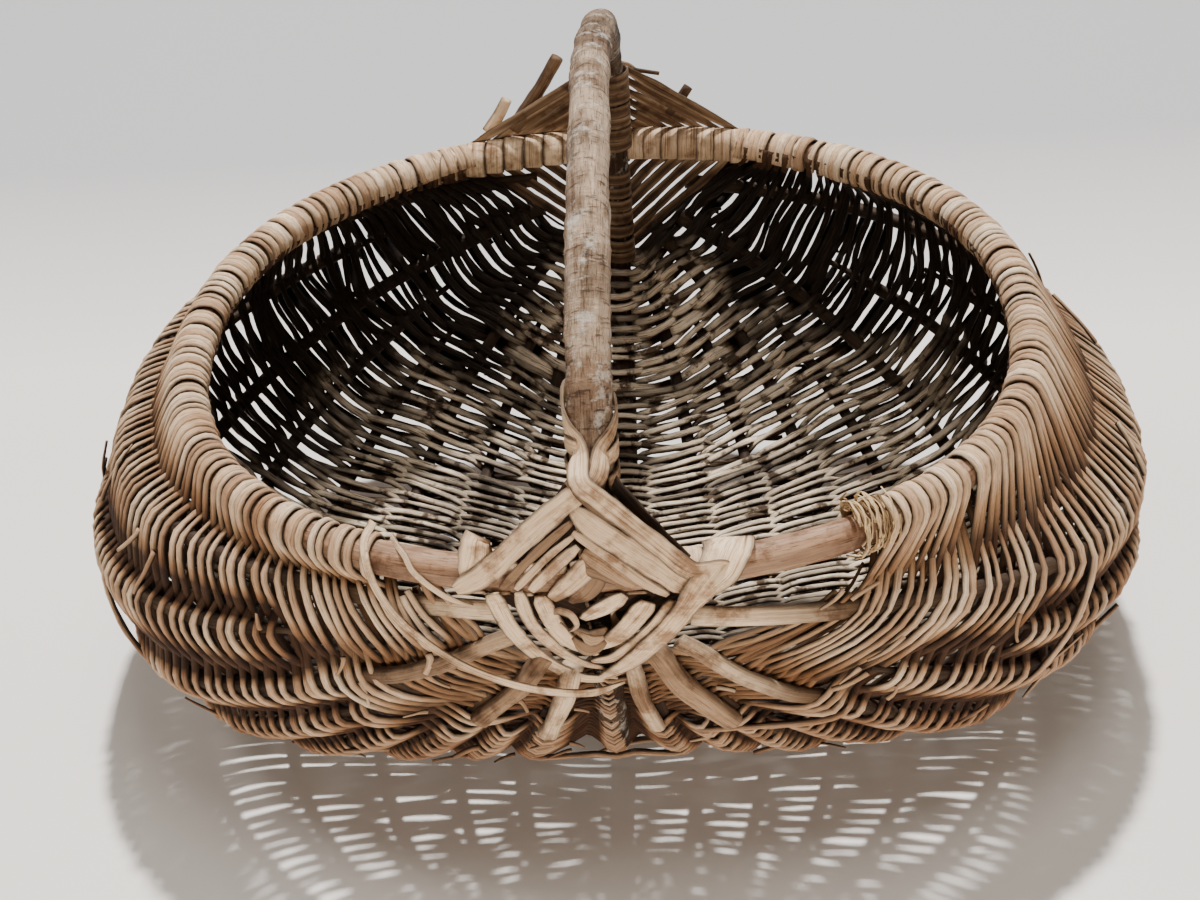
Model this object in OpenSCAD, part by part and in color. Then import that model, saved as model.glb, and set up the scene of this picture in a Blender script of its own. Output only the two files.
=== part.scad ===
// Rib basket with one fixed hoop handle.
// Two rods are bent into hoops and crossed: a level rim hoop, and an upright
// hoop that is the handle above the rim and the keel below it. Flat splints
// lash the two crossings. Ribs run from crossing to crossing and bulge out to
// both sides, and thin weavers are worked across them from rim to rim.
// Millimetres, +Z up, handle plane = YZ, origin on the ground under the middle.

/* [Rim] */
// Height of the rim hoop's centre line above the ground
rim_z = 200; // [195:1:205]
// Half width of the rim hoop, centre line, across the handle
rim_half_w = 218; // [214:1:220]
// Half length of the rim hoop, centre line, along the handle
rim_half_l = 213; // [212:1:215]
// Radius of the bare rim rod
rim_r = 8; // [7:0.5:8]
// Outside radius of the weaver turns wrapped round the rim
wrap_r = 11.5; // [10.5:0.5:12]

/* [Handle and keel] */
// Rise of the handle rod's centre line above the rim
handle_rise = 140; // [110:1:180]
// Half length of the upright hoop, centre line
hoop_half_l = 195; // [193:1:195]
// Radius of the handle rod over the top
handle_r = 10.5; // [8:0.5:10.5]
// Radius of the keel under the bowl
keel_r = 7.3; // [6:0.1:7.3]

/* [Ribs] */
// Radius of the main ribs
rib_r = 4; // [3:0.1:4]
// Radius of the filling ribs
filler_r = 3.5; // [2.5:0.1:3.8]
// How far the ribs' ends sit below the rim at the crossings
eye_drop = 18; // [14:1:20]

/* [Weave] */
// Clear offset from the rib surface to the woven wall
wall_gap = 4.3; // [4.2:0.1:4.5]
// Thickness of the woven wall
wall_t = 4; // [3:0.5:4]
// Where the weave starts, in degrees round from a crossing
weave_start = 23; // [20:1:27]

/* [Lashings] */
// Width of one lashing splint
splint_w = 10; // [8:0.5:11]
// Thickness of one lashing splint
splint_t = 2; // [1:0.5:2]

/* [Hidden] */

// Body shape. A rib is named by its angle below the rim, seen along the
// handle plane: 0 is the rim itself and 90 is the keel.
// Reach of the rib at its widest, from the line joining the crossings
REACH = [[0, 218], [6, 252], [14, 285], [22, 296], [32, 295], [40, 286.5],
  [45, 271.6], [47.5, 260.6], [50, 250.6], [52.5, 242.3], [55, 234.6], [60, 219.6],
  [68, 204], [80, 191.5], [90, 187]];
// Squareness of the rib's curve
SQUARE = [[0, 2.2], [6, 2.25], [14, 2.35], [22, 2.45], [41, 2.5], [50, 2.6],
  [58, 2.8], [68, 2.95], [90, 3.05]];
// Half length of the rib, crossing to crossing
HALF = [[0, 213], [20, 212], [40, 208], [60, 203], [80, 198], [90, 195]];

function soft(T, a) = (lookup(a - 3, T) + 2 * lookup(a, T) + lookup(a + 3, T)) / 4;
function reach(a) = (a < 3 ? lookup(a, REACH) : soft(REACH, a)) + (rim_half_w - 218) * max(0, 1 - a / 12);
function square_n(a) = soft(SQUARE, a);
function half_l(a) = lookup(a, HALF) + (a < 10 ? rim_half_l - 213 : 0);
function unit(v) = v / norm(v);
function ell(t, n) = pow(pow(abs(cos(t)), n) + pow(abs(sin(t)), n), -1 / n);
// Point of the body surface: a below the rim, t round from front to rear
function skin(a, t, side) =
  let (q = reach(a) * sin(t) * ell(t, square_n(a)))
  [side * q * cos(a), -half_l(a) * cos(t) * ell(t, square_n(a)), rim_z - q * sin(a)];
function skin_n(a, t, side) =
  let (u = skin(a + 0.5, t, 1) - skin(a - 0.5, t, 1),
       v = skin(a, t + 0.5, 1) - skin(a, t - 0.5, 1),
       n = unit(cross(u, v)))
  [side * n[0], n[1], n[2]];
function lift(a, t, side, d) = skin(a, t, side) + d * skin_n(a, t, side);

// ---- rods ---------------------------------------------------------------
function tangent(P, i, closed) =
  let (n = len(P))
  closed ? unit(P[(i + 1) % n] - P[(i + n - 1) % n])
         : unit(P[min(i + 1, n - 1)] - P[max(i - 1, 0)]);

// A rod of radius R[i] along P, with sides flats and a reference direction
module rod(P, R, ref, sides = 10, closed = false) {
  n = len(P);
  m = sides;
  pts = [for (i = [0:n - 1])
    let (T = tangent(P, i, closed), r0 = is_list(ref[0]) ? ref[i] : ref,
         N = unit(r0 - (r0 * T) * T), B = cross(T, N))
    for (k = [0:m - 1]) P[i] + R[i] * (cos(360 * k / m) * N + sin(360 * k / m) * B)];
  last = closed ? n - 1 : n - 2;
  side_faces = [for (i = [0:last]) for (k = [0:m - 1])
    let (a = i * m + k, b = i * m + (k + 1) % m,
         c = ((i + 1) % n) * m + (k + 1) % m, d = ((i + 1) % n) * m + k)
    each [[a, c, b], [a, d, c]]];
  caps = closed ? [] : concat(
    [for (k = [1:m - 2]) [0, k, k + 1]],
    [for (k = [1:m - 2]) [(n - 1) * m, (n - 1) * m + k + 1, (n - 1) * m + k]]);
  polyhedron(points = pts, faces = concat(side_faces, caps), convexity = 6);
}

// A sleeve round a curved rod, inside radius r0 and outside radius r1
module sleeve(P, r0, r1, ref, sides = 12) {
  n = len(P);
  m = sides;
  ring = function (r) [for (i = [0:n - 1])
    let (T = tangent(P, i, false), N = unit(ref - (ref * T) * T), B = cross(T, N))
    for (k = [0:m - 1]) P[i] + r * (cos(360 * k / m) * N + sin(360 * k / m) * B)];
  o = n * m;
  walls = [for (i = [0:n - 2]) for (k = [0:m - 1])
    let (a = i * m + k, b = i * m + (k + 1) % m, c = (i + 1) * m + (k + 1) % m, d = (i + 1) * m + k)
    each [[a, c, b], [a, d, c], [o + a, o + b, o + c], [o + a, o + c, o + d]]];
  ends = [for (k = [0:m - 1])
    let (a = k, b = (k + 1) % m, e = (n - 1) * m)
    each [[a, b, o + b], [a, o + b, o + a], [e + a, o + e + b, e + b], [e + a, o + e + a, o + e + b]]];
  polyhedron(points = concat(ring(r1), ring(r0)), faces = concat(walls, ends), convexity = 6);
}

function rim_path(t0, t1, n, side) = [for (i = [0:n]) skin(0, t0 + (t1 - t0) * i / n, side)];

module rim_hoop() {
  color("peru")
    rod([for (i = [0:71]) let (t = 5 * i)
      [rim_half_w * sin(t) * ell(t, 2.2), -rim_half_l * cos(t) * ell(t, 2.2), rim_z]],
      [for (i = [0:71]) rim_r], [0, 0, 1], 12, true);
}

// The upright hoop: a flattened bow above the rim, a squarer keel below it
function hoop_pt(u) =
  let (up = sin(u) >= 0, n = up ? 2.2 : square_n(90),
       d = up ? handle_rise : reach(90),
       r = ell(u, n))
  [0, -hoop_half_l * cos(u) * r, rim_z + d * sin(u) * r];
module handle_hoop() {
  color("rosybrown")
    rod([for (i = [0:79]) hoop_pt(4.5 * i)],
      [for (i = [0:79]) let (s = sin(4.5 * i))
        keel_r + (handle_r - keel_r) * min(1, max(0, (s + 0.35) / 0.5))],
      [1, 0, 0], 12, true);
}

// ---- ribs ---------------------------------------------------------------
// Angle of each rib below the rim, where it starts and where it ends
LEFT = [[6.5, 13, 167], [15.5, 30, 151], [27, 11, 169], [36, 26, 154],
        [45, 30, 150], [54, 11, 169], [63.5, 28, 152], [73, 17, 163]];
RIGHT = [[13.5, 11, 169], [21, 42, 140], [29, 27, 152], [40, 11, 169],
         [49, 29, 151], [58, 12, 168], [67, 28, 152], [77, 21, 159]];
function sink(t) = let (e = min(t, 180 - t)) eye_drop * exp(-pow(e / 25, 2));
function rib_path(a, t0, t1, side, n) =
  [for (i = [0:n]) let (t = t0 + (t1 - t0) * i / n) skin(a, t, side) - [0, 0, sink(t)]];
module rib(spec, side, main) {
  n = 30;
  r = main ? rib_r : filler_r;
  color(main ? "burlywood" : "tan")
    rod(rib_path(spec[0], spec[1], spec[2], side, n),
      [for (i = [0:n]) r * (i == 0 || i == n ? 0.6 : 1)],
      [for (i = [0:n]) skin_n(spec[0], spec[1] + (spec[2] - spec[1]) * i / n, side)], 8);
}
module rib_left_1() { rib(LEFT[0], -1, true); }
module rib_left_2() { rib(LEFT[1], -1, false); }
module rib_left_3() { rib(LEFT[2], -1, true); }
module rib_left_4() { rib(LEFT[3], -1, false); }
module rib_left_5() { rib(LEFT[4], -1, false); }
module rib_left_6() { rib(LEFT[5], -1, true); }
module rib_left_7() { rib(LEFT[6], -1, false); }
module rib_left_8() { rib(LEFT[7], -1, true); }
module rib_right_1() { rib(RIGHT[0], 1, true); }
module rib_right_2() { rib(RIGHT[1], 1, false); }
module rib_right_3() { rib(RIGHT[2], 1, false); }
module rib_right_4() { rib(RIGHT[3], 1, true); }
module rib_right_5() { rib(RIGHT[4], 1, false); }
module rib_right_6() { rib(RIGHT[5], 1, true); }
module rib_right_7() { rib(RIGHT[6], 1, false); }
module rib_right_8() { rib(RIGHT[7], 1, true); }

// ---- lashings at the two crossings ---------------------------------------
// Outer face of the rod on one arm of the cross, at distance d from its middle.
// Arms: 0 handle, 1 rim right, 2 keel, 3 rim left.
function on_rod(d, rise, half, n, r) = half * pow(1 - pow(min(d / rise, 0.999), n), 1 / n) + r;
function arm(k, d, end) =
  let (y = k == 0 ? on_rod(d, handle_rise, hoop_half_l, 2.2, handle_r)
         : k == 2 ? on_rod(d, reach(90), hoop_half_l, square_n(90), keel_r)
         : on_rod(d, rim_half_w, rim_half_l, 2.2, rim_r),
       apex = rim_half_l + rim_r + 1.5,
       yy = k % 2 == 0 ? max(y + 0.6, apex + (y + 0.6 - apex) * min(1, d / 38)) : y + 0.6 + 0.9 * max(0, 1 - d / 20))
  [k == 1 ? d : k == 3 ? -d : 0, end * yy, rim_z + (k == 0 ? d : k == 2 ? -d : 0)];
// One flat splint from arm k to the next one, between distances p and q
module splint(k, p, q, p2, q2, end) {
  j = (k + 1) % 4;
  A = [arm(k, p, end), arm(k, q, end), arm(j, q2, end), arm(j, p2, end)];
  pts = concat(A, [for (v = A) v + [0, end * splint_t, 0]]);
  f = [[0, 1, 2], [0, 2, 3], [4, 6, 5], [4, 7, 6], [0, 5, 1], [0, 4, 5],
       [1, 6, 2], [1, 5, 6], [2, 7, 3], [2, 6, 7], [3, 4, 0], [3, 7, 4]];
  polyhedron(points = pts, faces = end < 0 ? [for (t = f) [t[0], t[2], t[1]]] : f);
}
// Rounds of splints, worked outwards; kx stretches them along the arms
module lashing(end, rounds, stretch) {
  step = splint_w * 1.12;
  color("wheat")
    for (i = [0:rounds - 1]) for (k = [0:3]) let (j = (k + 1) % 4)
      splint(k, stretch[k] * (3 + i * step), stretch[k] * (3 + i * step + splint_w),
             stretch[j] * (3 + i * step), stretch[j] * (3 + i * step + splint_w), end);
}
module front_eye_lashing() { lashing(-1, 5, [1, 1, 1, 1]); }
module rear_eye_lashing() { lashing(1, 5, [1.05, 1.4, 1, 1.5]); }

// ---- woven wall -----------------------------------------------------------
module rim_wrapping(side, t0) {
  color("burlywood")
    sleeve(rim_path(t0, 178 - weave_start, 30, side), rim_r + 0.2, wrap_r, [0, 0, 1]);
}
module rim_wrapping_left() { rim_wrapping(-1, weave_start + 2); }
module rim_wrapping_right() { rim_wrapping(1, 36); }

function gap_at(a) = wall_gap + (keel_r - 3.9) * min(1, max(0, (a - 78) / 10));
function wall_pt(a, t, side, out) =
  let (p = lift(a, t, side, gap_at(a) + (out ? wall_t : 0)))
  [a >= 90 ? 0 : p[0], p[1], max(p[2], out ? 0 : wall_t - 0.8)];
// Closed thin panel between angles a0..90 and t0..t1, resting flat on z = 0
module panel(side, t0, t1, nt) {
  A = [1.6, 4, 7, 11, 15, 20, 25, 30, 35, 40, 44, 48, 52, 56, 61, 67, 73, 79, 84, 90];
  na = len(A) - 1;
  w = nt + 1;
  grid = function (out) [for (i = [0:na]) for (j = [0:nt]) wall_pt(A[i], t0 + (t1 - t0) * j / nt, side, out)];
  o = (na + 1) * w;
  skins = [for (i = [0:na - 1]) for (j = [0:nt - 1])
    let (a = i * w + j, b = (i + 1) * w + j, c = b + 1, d = a + 1)
    each [[a, c, b], [a, d, c], [o + a, o + b, o + c], [o + a, o + c, o + d]]];
  rim1 = [for (i = [0:na - 1]) let (a = i * w, b = a + w, e = a + nt, g = b + nt)
    each [[a, b, o + b], [a, o + b, o + a], [e, o + g, g], [e, o + e, o + g]]];
  rim2 = [for (j = [0:nt - 1]) let (a = j, d = j + 1, e = na * w + j, g = e + 1)
    each [[a, o + d, d], [a, o + a, o + d], [e, g, o + g], [e, o + g, o + e]]];
  f = concat(skins, rim1, rim2);
  color("tan")
    polyhedron(points = concat(grid(true), grid(false)),
      faces = side > 0 ? f : [for (t = f) [t[0], t[2], t[1]]], convexity = 8);
}
module weave_front_left() { panel(-1, weave_start, 66, 7); }
module weave_front_right() { panel(1, weave_start, 66, 7); }
module weave_middle_left() { panel(-1, 66, 114, 8); }
module weave_middle_right() { panel(1, 66, 114, 8); }
module weave_rear_left() { panel(-1, 114, 180 - weave_start, 7); }
module weave_rear_right() { panel(1, 114, 180 - weave_start, 7); }

// ---- loose ends -----------------------------------------------------------
// A lashing splint that has sprung out of the rim and hangs below the crossing
LOOSE = [[-101, -186, 213], [-104, -198, 210], [-101, -208, 198], [-93, -214, 184],
  [-80, -219, 171], [-63, -222, 158], [-44, -222, 147], [-25, -220, 139],
  [-6, -217, 135], [9, -215, 139]];
module loose_splint() {
  n = len(LOOSE);
  h = 3.5;
  t = 0.7;
  pts = [for (i = [0:n - 1])
    let (T = tangent(LOOSE, i, false), N = unit([0, -1, 0.25] - ([0, -1, 0.25] * T) * T), B = cross(T, N))
    each [LOOSE[i] + h * B + t * N, LOOSE[i] - h * B + t * N, LOOSE[i] - h * B - t * N, LOOSE[i] + h * B - t * N]];
  f = [for (i = [0:n - 2]) for (k = [0:3])
    let (a = i * 4 + k, b = i * 4 + (k + 1) % 4, c = (i + 1) * 4 + (k + 1) % 4, d = (i + 1) * 4 + k)
    each [[a, b, c], [a, c, d]]];
  color("wheat")
    polyhedron(points = pts, faces = concat(f, [[0, 2, 1], [0, 3, 2]],
      [[4 * n - 4, 4 * n - 3, 4 * n - 2], [4 * n - 4, 4 * n - 2, 4 * n - 1]]));
}
// A tuft of dry grass tied round the bare rim
module straw_tuft() {
  color("khaki")
    sleeve(rim_path(31, 34, 2, 1), rim_r + 0.2, rim_r + 5, [0, 0, 1], 12);
}

rim_hoop();
handle_hoop();
rib_left_1();
rib_left_2();
rib_left_3();
rib_left_4();
rib_left_5();
rib_left_6();
rib_left_7();
rib_left_8();
rib_right_1();
rib_right_2();
rib_right_3();
rib_right_4();
rib_right_5();
rib_right_6();
rib_right_7();
rib_right_8();
front_eye_lashing();
rear_eye_lashing();
rim_wrapping_left();
rim_wrapping_right();
weave_front_left();
weave_front_right();
weave_middle_left();
weave_middle_right();
weave_rear_left();
weave_rear_right();
loose_splint();
straw_tuft();
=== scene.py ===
import math
import bpy
import numpy as np
from mathutils import Matrix, Vector


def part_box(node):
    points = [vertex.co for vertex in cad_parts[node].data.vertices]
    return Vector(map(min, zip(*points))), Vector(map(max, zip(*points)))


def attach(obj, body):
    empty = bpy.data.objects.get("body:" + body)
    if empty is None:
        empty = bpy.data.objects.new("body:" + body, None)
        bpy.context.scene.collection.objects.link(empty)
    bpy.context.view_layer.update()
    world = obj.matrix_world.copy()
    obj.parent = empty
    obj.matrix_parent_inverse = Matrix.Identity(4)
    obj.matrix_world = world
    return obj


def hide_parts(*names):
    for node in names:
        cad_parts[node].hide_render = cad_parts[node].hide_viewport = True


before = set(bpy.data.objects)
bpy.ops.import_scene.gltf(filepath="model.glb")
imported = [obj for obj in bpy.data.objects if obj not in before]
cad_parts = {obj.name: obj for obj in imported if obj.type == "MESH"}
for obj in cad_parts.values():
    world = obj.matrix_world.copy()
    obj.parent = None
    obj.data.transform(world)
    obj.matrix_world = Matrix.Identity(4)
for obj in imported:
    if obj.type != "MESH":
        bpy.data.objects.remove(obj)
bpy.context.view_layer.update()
MM = 0.001

# ------------------------------------------------------------------ body shape
# The same rule as the frame's: a rib is named by its angle a below the rim,
# and t runs round it from the front crossing to the rear one (degrees, mm).
REACH = np.array([[0, 218], [6, 252], [14, 285], [22, 296], [32, 295], [40, 286.5],
                  [45, 271.6], [47.5, 260.6], [50, 250.6], [52.5, 242.3], [55, 234.6],
                  [60, 219.6], [68, 204], [80, 191.5], [90, 187]])
SQUARE = np.array([[0, 2.2], [6, 2.25], [14, 2.35], [22, 2.45], [41, 2.5], [50, 2.6],
                   [58, 2.8], [68, 2.95], [90, 3.05]])
HALF = np.array([[0, 213], [20, 212], [40, 208], [60, 203], [80, 198], [90, 195]])
rim_lo, rim_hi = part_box("rim_hoop")
RIM_Z = (rim_lo[2] + rim_hi[2]) / 2 / MM
RIM_R, WRAP_R, HANDLE_R, KEEL_R, RIB_R, FILL_R = 8.0, 11.5, 10.5, 7.3, 4.0, 3.5
HANDLE_RISE, HOOP_HALF, EYE_DROP = 140.0, 195.0, 18.0


def lk(T, a):
    return np.interp(a, T[:, 0], T[:, 1])


def soft(T, a):
    return (lk(T, a - 3) + 2 * lk(T, a) + lk(T, a + 3)) / 4


def reach(a):
    return np.where(a < 3, lk(REACH, a), soft(REACH, a))


def skin(a, t, side=1):
    a = np.asarray(a, float)
    t = np.asarray(t, float)
    n = soft(SQUARE, a)
    tr = np.radians(t)
    c, s = np.cos(tr), np.sin(tr)
    r = (np.abs(c) ** n + np.abs(s) ** n) ** (-1 / n)
    q = reach(a) * s * r
    ar = np.radians(a)
    return np.stack([side * q * np.cos(ar), -lk(HALF, a) * c * r, RIM_Z - q * np.sin(ar)], -1)


def skin_n(a, t, side=1):
    u = skin(a + .5, t) - skin(a - .5, t)
    v = skin(a, t + .5) - skin(a, t - .5)
    n = np.cross(u, v)
    n /= np.linalg.norm(n, axis=-1, keepdims=True)
    return n * np.stack([side * np.ones(n.shape[:-1]), np.ones(n.shape[:-1]), np.ones(n.shape[:-1])], -1)


def sstep(x):
    x = np.clip(x, 0, 1)
    return x * x * (3 - 2 * x)


def sink(t):
    e = np.minimum(t, 180 - t)
    return EYE_DROP * np.exp(-(e / 25) ** 2)


# s runs right across the bowl: 0 left rim, 90 keel, 180 right rim
def wall(s, t):
    s = np.asarray(s, float)
    a = np.where(s < 90, s, 180 - s)
    side = np.where(s < 90, -1.0, 1.0)
    p = skin(a, t, side)
    w = sstep(a / 10) * (1 - sstep((a - 78) / 12))
    p[..., 2] -= sink(t) * w
    return p


def wall_n(s, t):
    s = np.asarray(s, float)
    a = np.where(s < 90, s, 180 - s)
    side = np.where(s < 90, -1.0, 1.0)
    n = skin_n(np.clip(a, 0.5, 89.4), t, 1)
    n[..., 0] *= side * np.clip((90 - a) / 4, 0, 1)
    return n / np.linalg.norm(n, axis=-1, keepdims=True)


# ------------------------------------------------------------------ noise
class Noise2:
    """Smooth repeatable value noise in two dimensions, about -1 to 1."""

    def __init__(self, seed, nx=64, ny=64):
        self.g = np.random.default_rng(seed).uniform(-1, 1, (nx, ny))

    def __call__(self, x, y):
        g = self.g
        x = np.asarray(x, float) + 1000 * g.shape[0]
        y = np.asarray(y, float) + 1000 * g.shape[1]
        i, j = np.floor(x).astype(int), np.floor(y).astype(int)
        u, v = x - i, y - j
        u, v = u * u * (3 - 2 * u), v * v * (3 - 2 * v)
        i0, j0, i1, j1 = i % g.shape[0], j % g.shape[1], (i + 1) % g.shape[0], (j + 1) % g.shape[1]
        return (g[i0, j0] * (1 - u) * (1 - v) + g[i1, j0] * u * (1 - v)
                + g[i0, j1] * (1 - u) * v + g[i1, j1] * u * v)


# ------------------------------------------------------------------ mesh bag
def unit(v):
    return v / np.maximum(np.linalg.norm(v, axis=-1, keepdims=True), 1e-9)


def frames(P, ref):
    T = np.empty_like(P)
    T[1:-1] = P[2:] - P[:-2]
    T[0] = P[1] - P[0]
    T[-1] = P[-1] - P[-2]
    T = unit(T)
    ref = np.broadcast_to(np.asarray(ref, float), P.shape)
    N = unit(ref - (ref * T).sum(-1, keepdims=True) * T)
    return T, N, np.cross(T, N)


class Bag:
    """Collects swept rods and splints into one mesh with its own UV layout."""

    def __init__(self):
        self.V, self.quads, self.caps, self.uv, self.capuv = [], [], [], [], []
        self.flow, self.tint, self.rec, self.edge = [], [], [], []
        self.n = 0
        self.items = 0
        self.rows = []

    def sweep(self, P, ref, w, h, m=8, power=2.0, rnd=(0.5, 0.5), inside=0.0, out_dir=None,
              disp=None, twist=None, u0=0.0, cap=(True, True), recess=0.0, dirt_and_shade=None):
        P = np.asarray(P, float)
        n = len(P)
        T, N, B = frames(P, ref)
        w = np.broadcast_to(np.asarray(w, float), (n,))[:, None]
        h = np.broadcast_to(np.asarray(h, float), (n,))[:, None]
        ph = 2 * np.pi * (np.arange(m) + 0.5) / m
        c, s = np.cos(ph), np.sin(ph)
        e = 2.0 / power
        cx = (np.sign(c) * np.abs(c) ** e)[None, :]
        sy = (np.sign(s) * np.abs(s) ** e)[None, :]
        if twist is not None:
            tw = np.asarray(twist, float)[:, None]
            N, B = N * np.cos(tw) + B * np.sin(tw), B * np.cos(tw) - N * np.sin(tw)
        k = np.ones((n, m)) if disp is None else 1 + disp
        X = P[:, None, :] + (w * cx * k)[..., None] * B[:, None, :] + (h * sy * k)[..., None] * N[:, None, :]
        L = np.concatenate([[0], np.cumsum(np.linalg.norm(np.diff(P, axis=0), axis=1))]) + u0
        base = self.n
        self.V.append(X.reshape(-1, 3))
        i = np.arange(n - 1)[:, None]
        kk = np.arange(m)[None, :]
        k1 = (kk + 1) % m
        a = base + i * m + kk
        b = base + i * m + k1
        self.quads.append(np.stack([a, b, b + m, a + m], -1).reshape(-1, 4))
        # ring coordinates in the item's own strip of the layout
        uu = (L - L[0]) / (L[-1] - L[0])
        q = np.stack([np.stack([uu[i] + 0 * kk, kk / m + 0 * i], -1), np.stack([uu[i] + 0 * kk, (kk + 1) / m + 0 * i], -1),
                      np.stack([uu[i + 1] + 0 * kk, (kk + 1) / m + 0 * i], -1), np.stack([uu[i + 1] + 0 * kk, kk / m + 0 * i], -1)], -2)
        self.uv.append((self.items, q.reshape(-1, 4, 2)))
        for end, on in ((0, cap[0]), (n - 1, cap[1])):
            if on:
                ring = base + end * m + np.arange(m)
                ring = ring[::-1] if end == 0 else ring
                self.caps.append(ring)
                self.capuv.append((self.items, end != 0, m))
        # along (m), around (0..1), own number
        fl = np.empty((n, m, 3))
        fl[..., 0] = (L * MM)[:, None]
        fl[..., 1] = (np.arange(m) / m)[None, :]
        fl[..., 2] = rnd[0]
        self.flow.append(fl.reshape(-1, 3))
        ti = np.empty((n, m, 4))
        ti[..., 0] = rnd[0]
        ti[..., 1] = rnd[1]
        # painted shade: with a darkening amount given, faces turned away from out_dir are darkened by it
        if dirt_and_shade is not None:
            nn = unit(X - P[:, None, :])
            f = np.clip(0.5 - 0.8 * (nn * np.asarray(out_dir)[:, None, :]).sum(-1), 0, 1)
            ti[..., 2] = f * np.asarray(dirt_and_shade)[:, None]
        elif out_dir is not None:
            nn = unit(X - P[:, None, :])
            ti[..., 2] = np.clip(0.5 - 0.5 * (nn * np.asarray(out_dir)[:, None, :]).sum(-1), 0, 1)
        else:
            ti[..., 2] = np.broadcast_to(np.asarray(inside, float), (n,))[:, None] if np.ndim(inside) else inside
        ti[..., 3] = np.broadcast_to(np.asarray(inside, float), (n,))[:, None] if out_dir is not None else 1.0
        self.tint.append(ti.reshape(-1, 4))
        self.rec.append(np.repeat(np.broadcast_to(np.asarray(recess, float), (n,)), m))
        self.edge.append(np.tile(np.abs(cx[0]), n))
        self.n += n * m
        self.items += 1

    def tris(self):
        return sum(len(q) for q in self.quads) * 2 + sum(len(c) - 2 for c in self.caps)

    def build(self, name, mat):
        V = np.concatenate(self.V) * MM
        Q = np.concatenate(self.quads)
        nq = len(Q)
        cols = max(1, int(math.ceil(math.sqrt(self.items / 12.0))))
        rows = int(math.ceil(self.items / cols))

        def place(item, q):
            c0, r0 = item % cols, item // cols
            u = (c0 + 0.02 + 0.94 * q[..., 0]) / cols
            v = (r0 + 0.06 + 0.88 * q[..., 1]) / rows
            return np.stack([u, v], -1)

        uv = [place(it, q).reshape(-1, 2) for it, q in self.uv]
        loops = [Q.reshape(-1)]
        starts = [np.arange(nq) * 4]
        tot = nq * 4
        st = []
        for ring, (it, end, m) in zip(self.caps, self.capuv):
            ang = 2 * np.pi * np.arange(m) / m
            q = np.stack([(1.012 if end else -0.012) + 0.005 * np.cos(ang), 0.5 + 0.3 * np.sin(ang)], -1)
            uv.append(place(it, q))
            loops.append(ring)
            st.append(tot)
            tot += m
        loops = np.concatenate(loops).astype(np.int32)
        starts = np.concatenate(starts + [np.array(st, int)]).astype(np.int32)
        me = bpy.data.meshes.new(name)
        me.vertices.add(len(V))
        me.vertices.foreach_set("co", V.astype(np.float32).reshape(-1))
        me.loops.add(len(loops))
        me.loops.foreach_set("vertex_index", loops)
        me.polygons.add(len(starts))
        me.polygons.foreach_set("loop_start", starts)
        me.polygons.foreach_set("use_smooth", np.ones(len(starts), bool))
        me.update(calc_edges=True)
        lay = me.uv_layers.new(name="OFBake")
        lay.data.foreach_set("uv", np.concatenate(uv).astype(np.float32).reshape(-1))
        at = me.attributes.new("flow", "FLOAT_VECTOR", "POINT")
        at.data.foreach_set("vector", np.concatenate(self.flow).astype(np.float32).reshape(-1))
        at = me.attributes.new("tint", "FLOAT_COLOR", "POINT")
        at.data.foreach_set("color", np.concatenate(self.tint).astype(np.float32).reshape(-1))
        at = me.attributes.new("recess", "FLOAT", "POINT")
        at.data.foreach_set("value", np.concatenate(self.rec).astype(np.float32))
        at = me.attributes.new("edge", "FLOAT", "POINT")
        at.data.foreach_set("value", np.concatenate(self.edge).astype(np.float32))
        me.validate()
        ob = bpy.data.objects.new(name, me)
        bpy.context.scene.collection.objects.link(ob)
        me.materials.append(mat)
        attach(ob, "root")
        print(name, self.tris(), "triangles")
        return ob


def smooth_path(P, step):
    """Catmull-Rom through P, sampled about every `step` mm."""
    P = np.asarray(P, float)
    E = np.concatenate([[2 * P[0] - P[1]], P, [2 * P[-1] - P[-2]]])
    out = []
    for i in range(len(P) - 1):
        p0, p1, p2, p3 = E[i], E[i + 1], E[i + 2], E[i + 3]
        n = max(1, int(round(np.linalg.norm(p2 - p1) / step)))
        u = (np.arange(n) / n)[:, None]
        out.append(0.5 * (2 * p1 + (p2 - p0) * u + (2 * p0 - 5 * p1 + 4 * p2 - p3) * u ** 2
                          + (3 * p1 - p0 - 3 * p2 + p3) * u ** 3))
    out.append(P[-1:])
    return np.concatenate(out)


# ------------------------------------------------------------------ materials
def mat_new(name):
    m = bpy.data.materials.new(name)
    m.use_nodes = True
    nt = m.node_tree
    nt.nodes.clear()
    out = nt.nodes.new("ShaderNodeOutputMaterial")
    bs = nt.nodes.new("ShaderNodeBsdfPrincipled")
    nt.links.new(bs.outputs[0], out.inputs[0])
    return m, nt, bs


def nd(nt, kind, **kw):
    n = nt.nodes.new(kind)
    for k, v in kw.items():
        if k == "ins":
            for kk, vv in v.items():
                if hasattr(vv, "links") or isinstance(vv, bpy.types.NodeSocket):
                    nt.links.new(vv, n.inputs[kk])
                else:
                    n.inputs[kk].default_value = vv
        else:
            setattr(n, k, v)
    return n


def ramp(nt, fac, stops, interp="LINEAR"):
    r = nd(nt, "ShaderNodeValToRGB", ins={0: fac})
    r.color_ramp.interpolation = interp
    el = r.color_ramp.elements
    while len(el) < len(stops):
        el.new(0.5)
    for e, (p, c) in zip(el, stops):
        e.position = p
        e.color = (c[0], c[1], c[2], 1) if len(c) == 3 else c
    return r.outputs[0]


def mixc(nt, f, a, b, mode="MIX"):
    n = nd(nt, "ShaderNodeMix", data_type="RGBA", blend_type=mode)
    for i, v in ((0, f), (6, a), (7, b)):
        if isinstance(v, bpy.types.NodeSocket):
            nt.links.new(v, n.inputs[i])
        else:
            n.inputs[i].default_value = v if i == 0 else (v[0], v[1], v[2], 1)
    return n.outputs[2]


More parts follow.
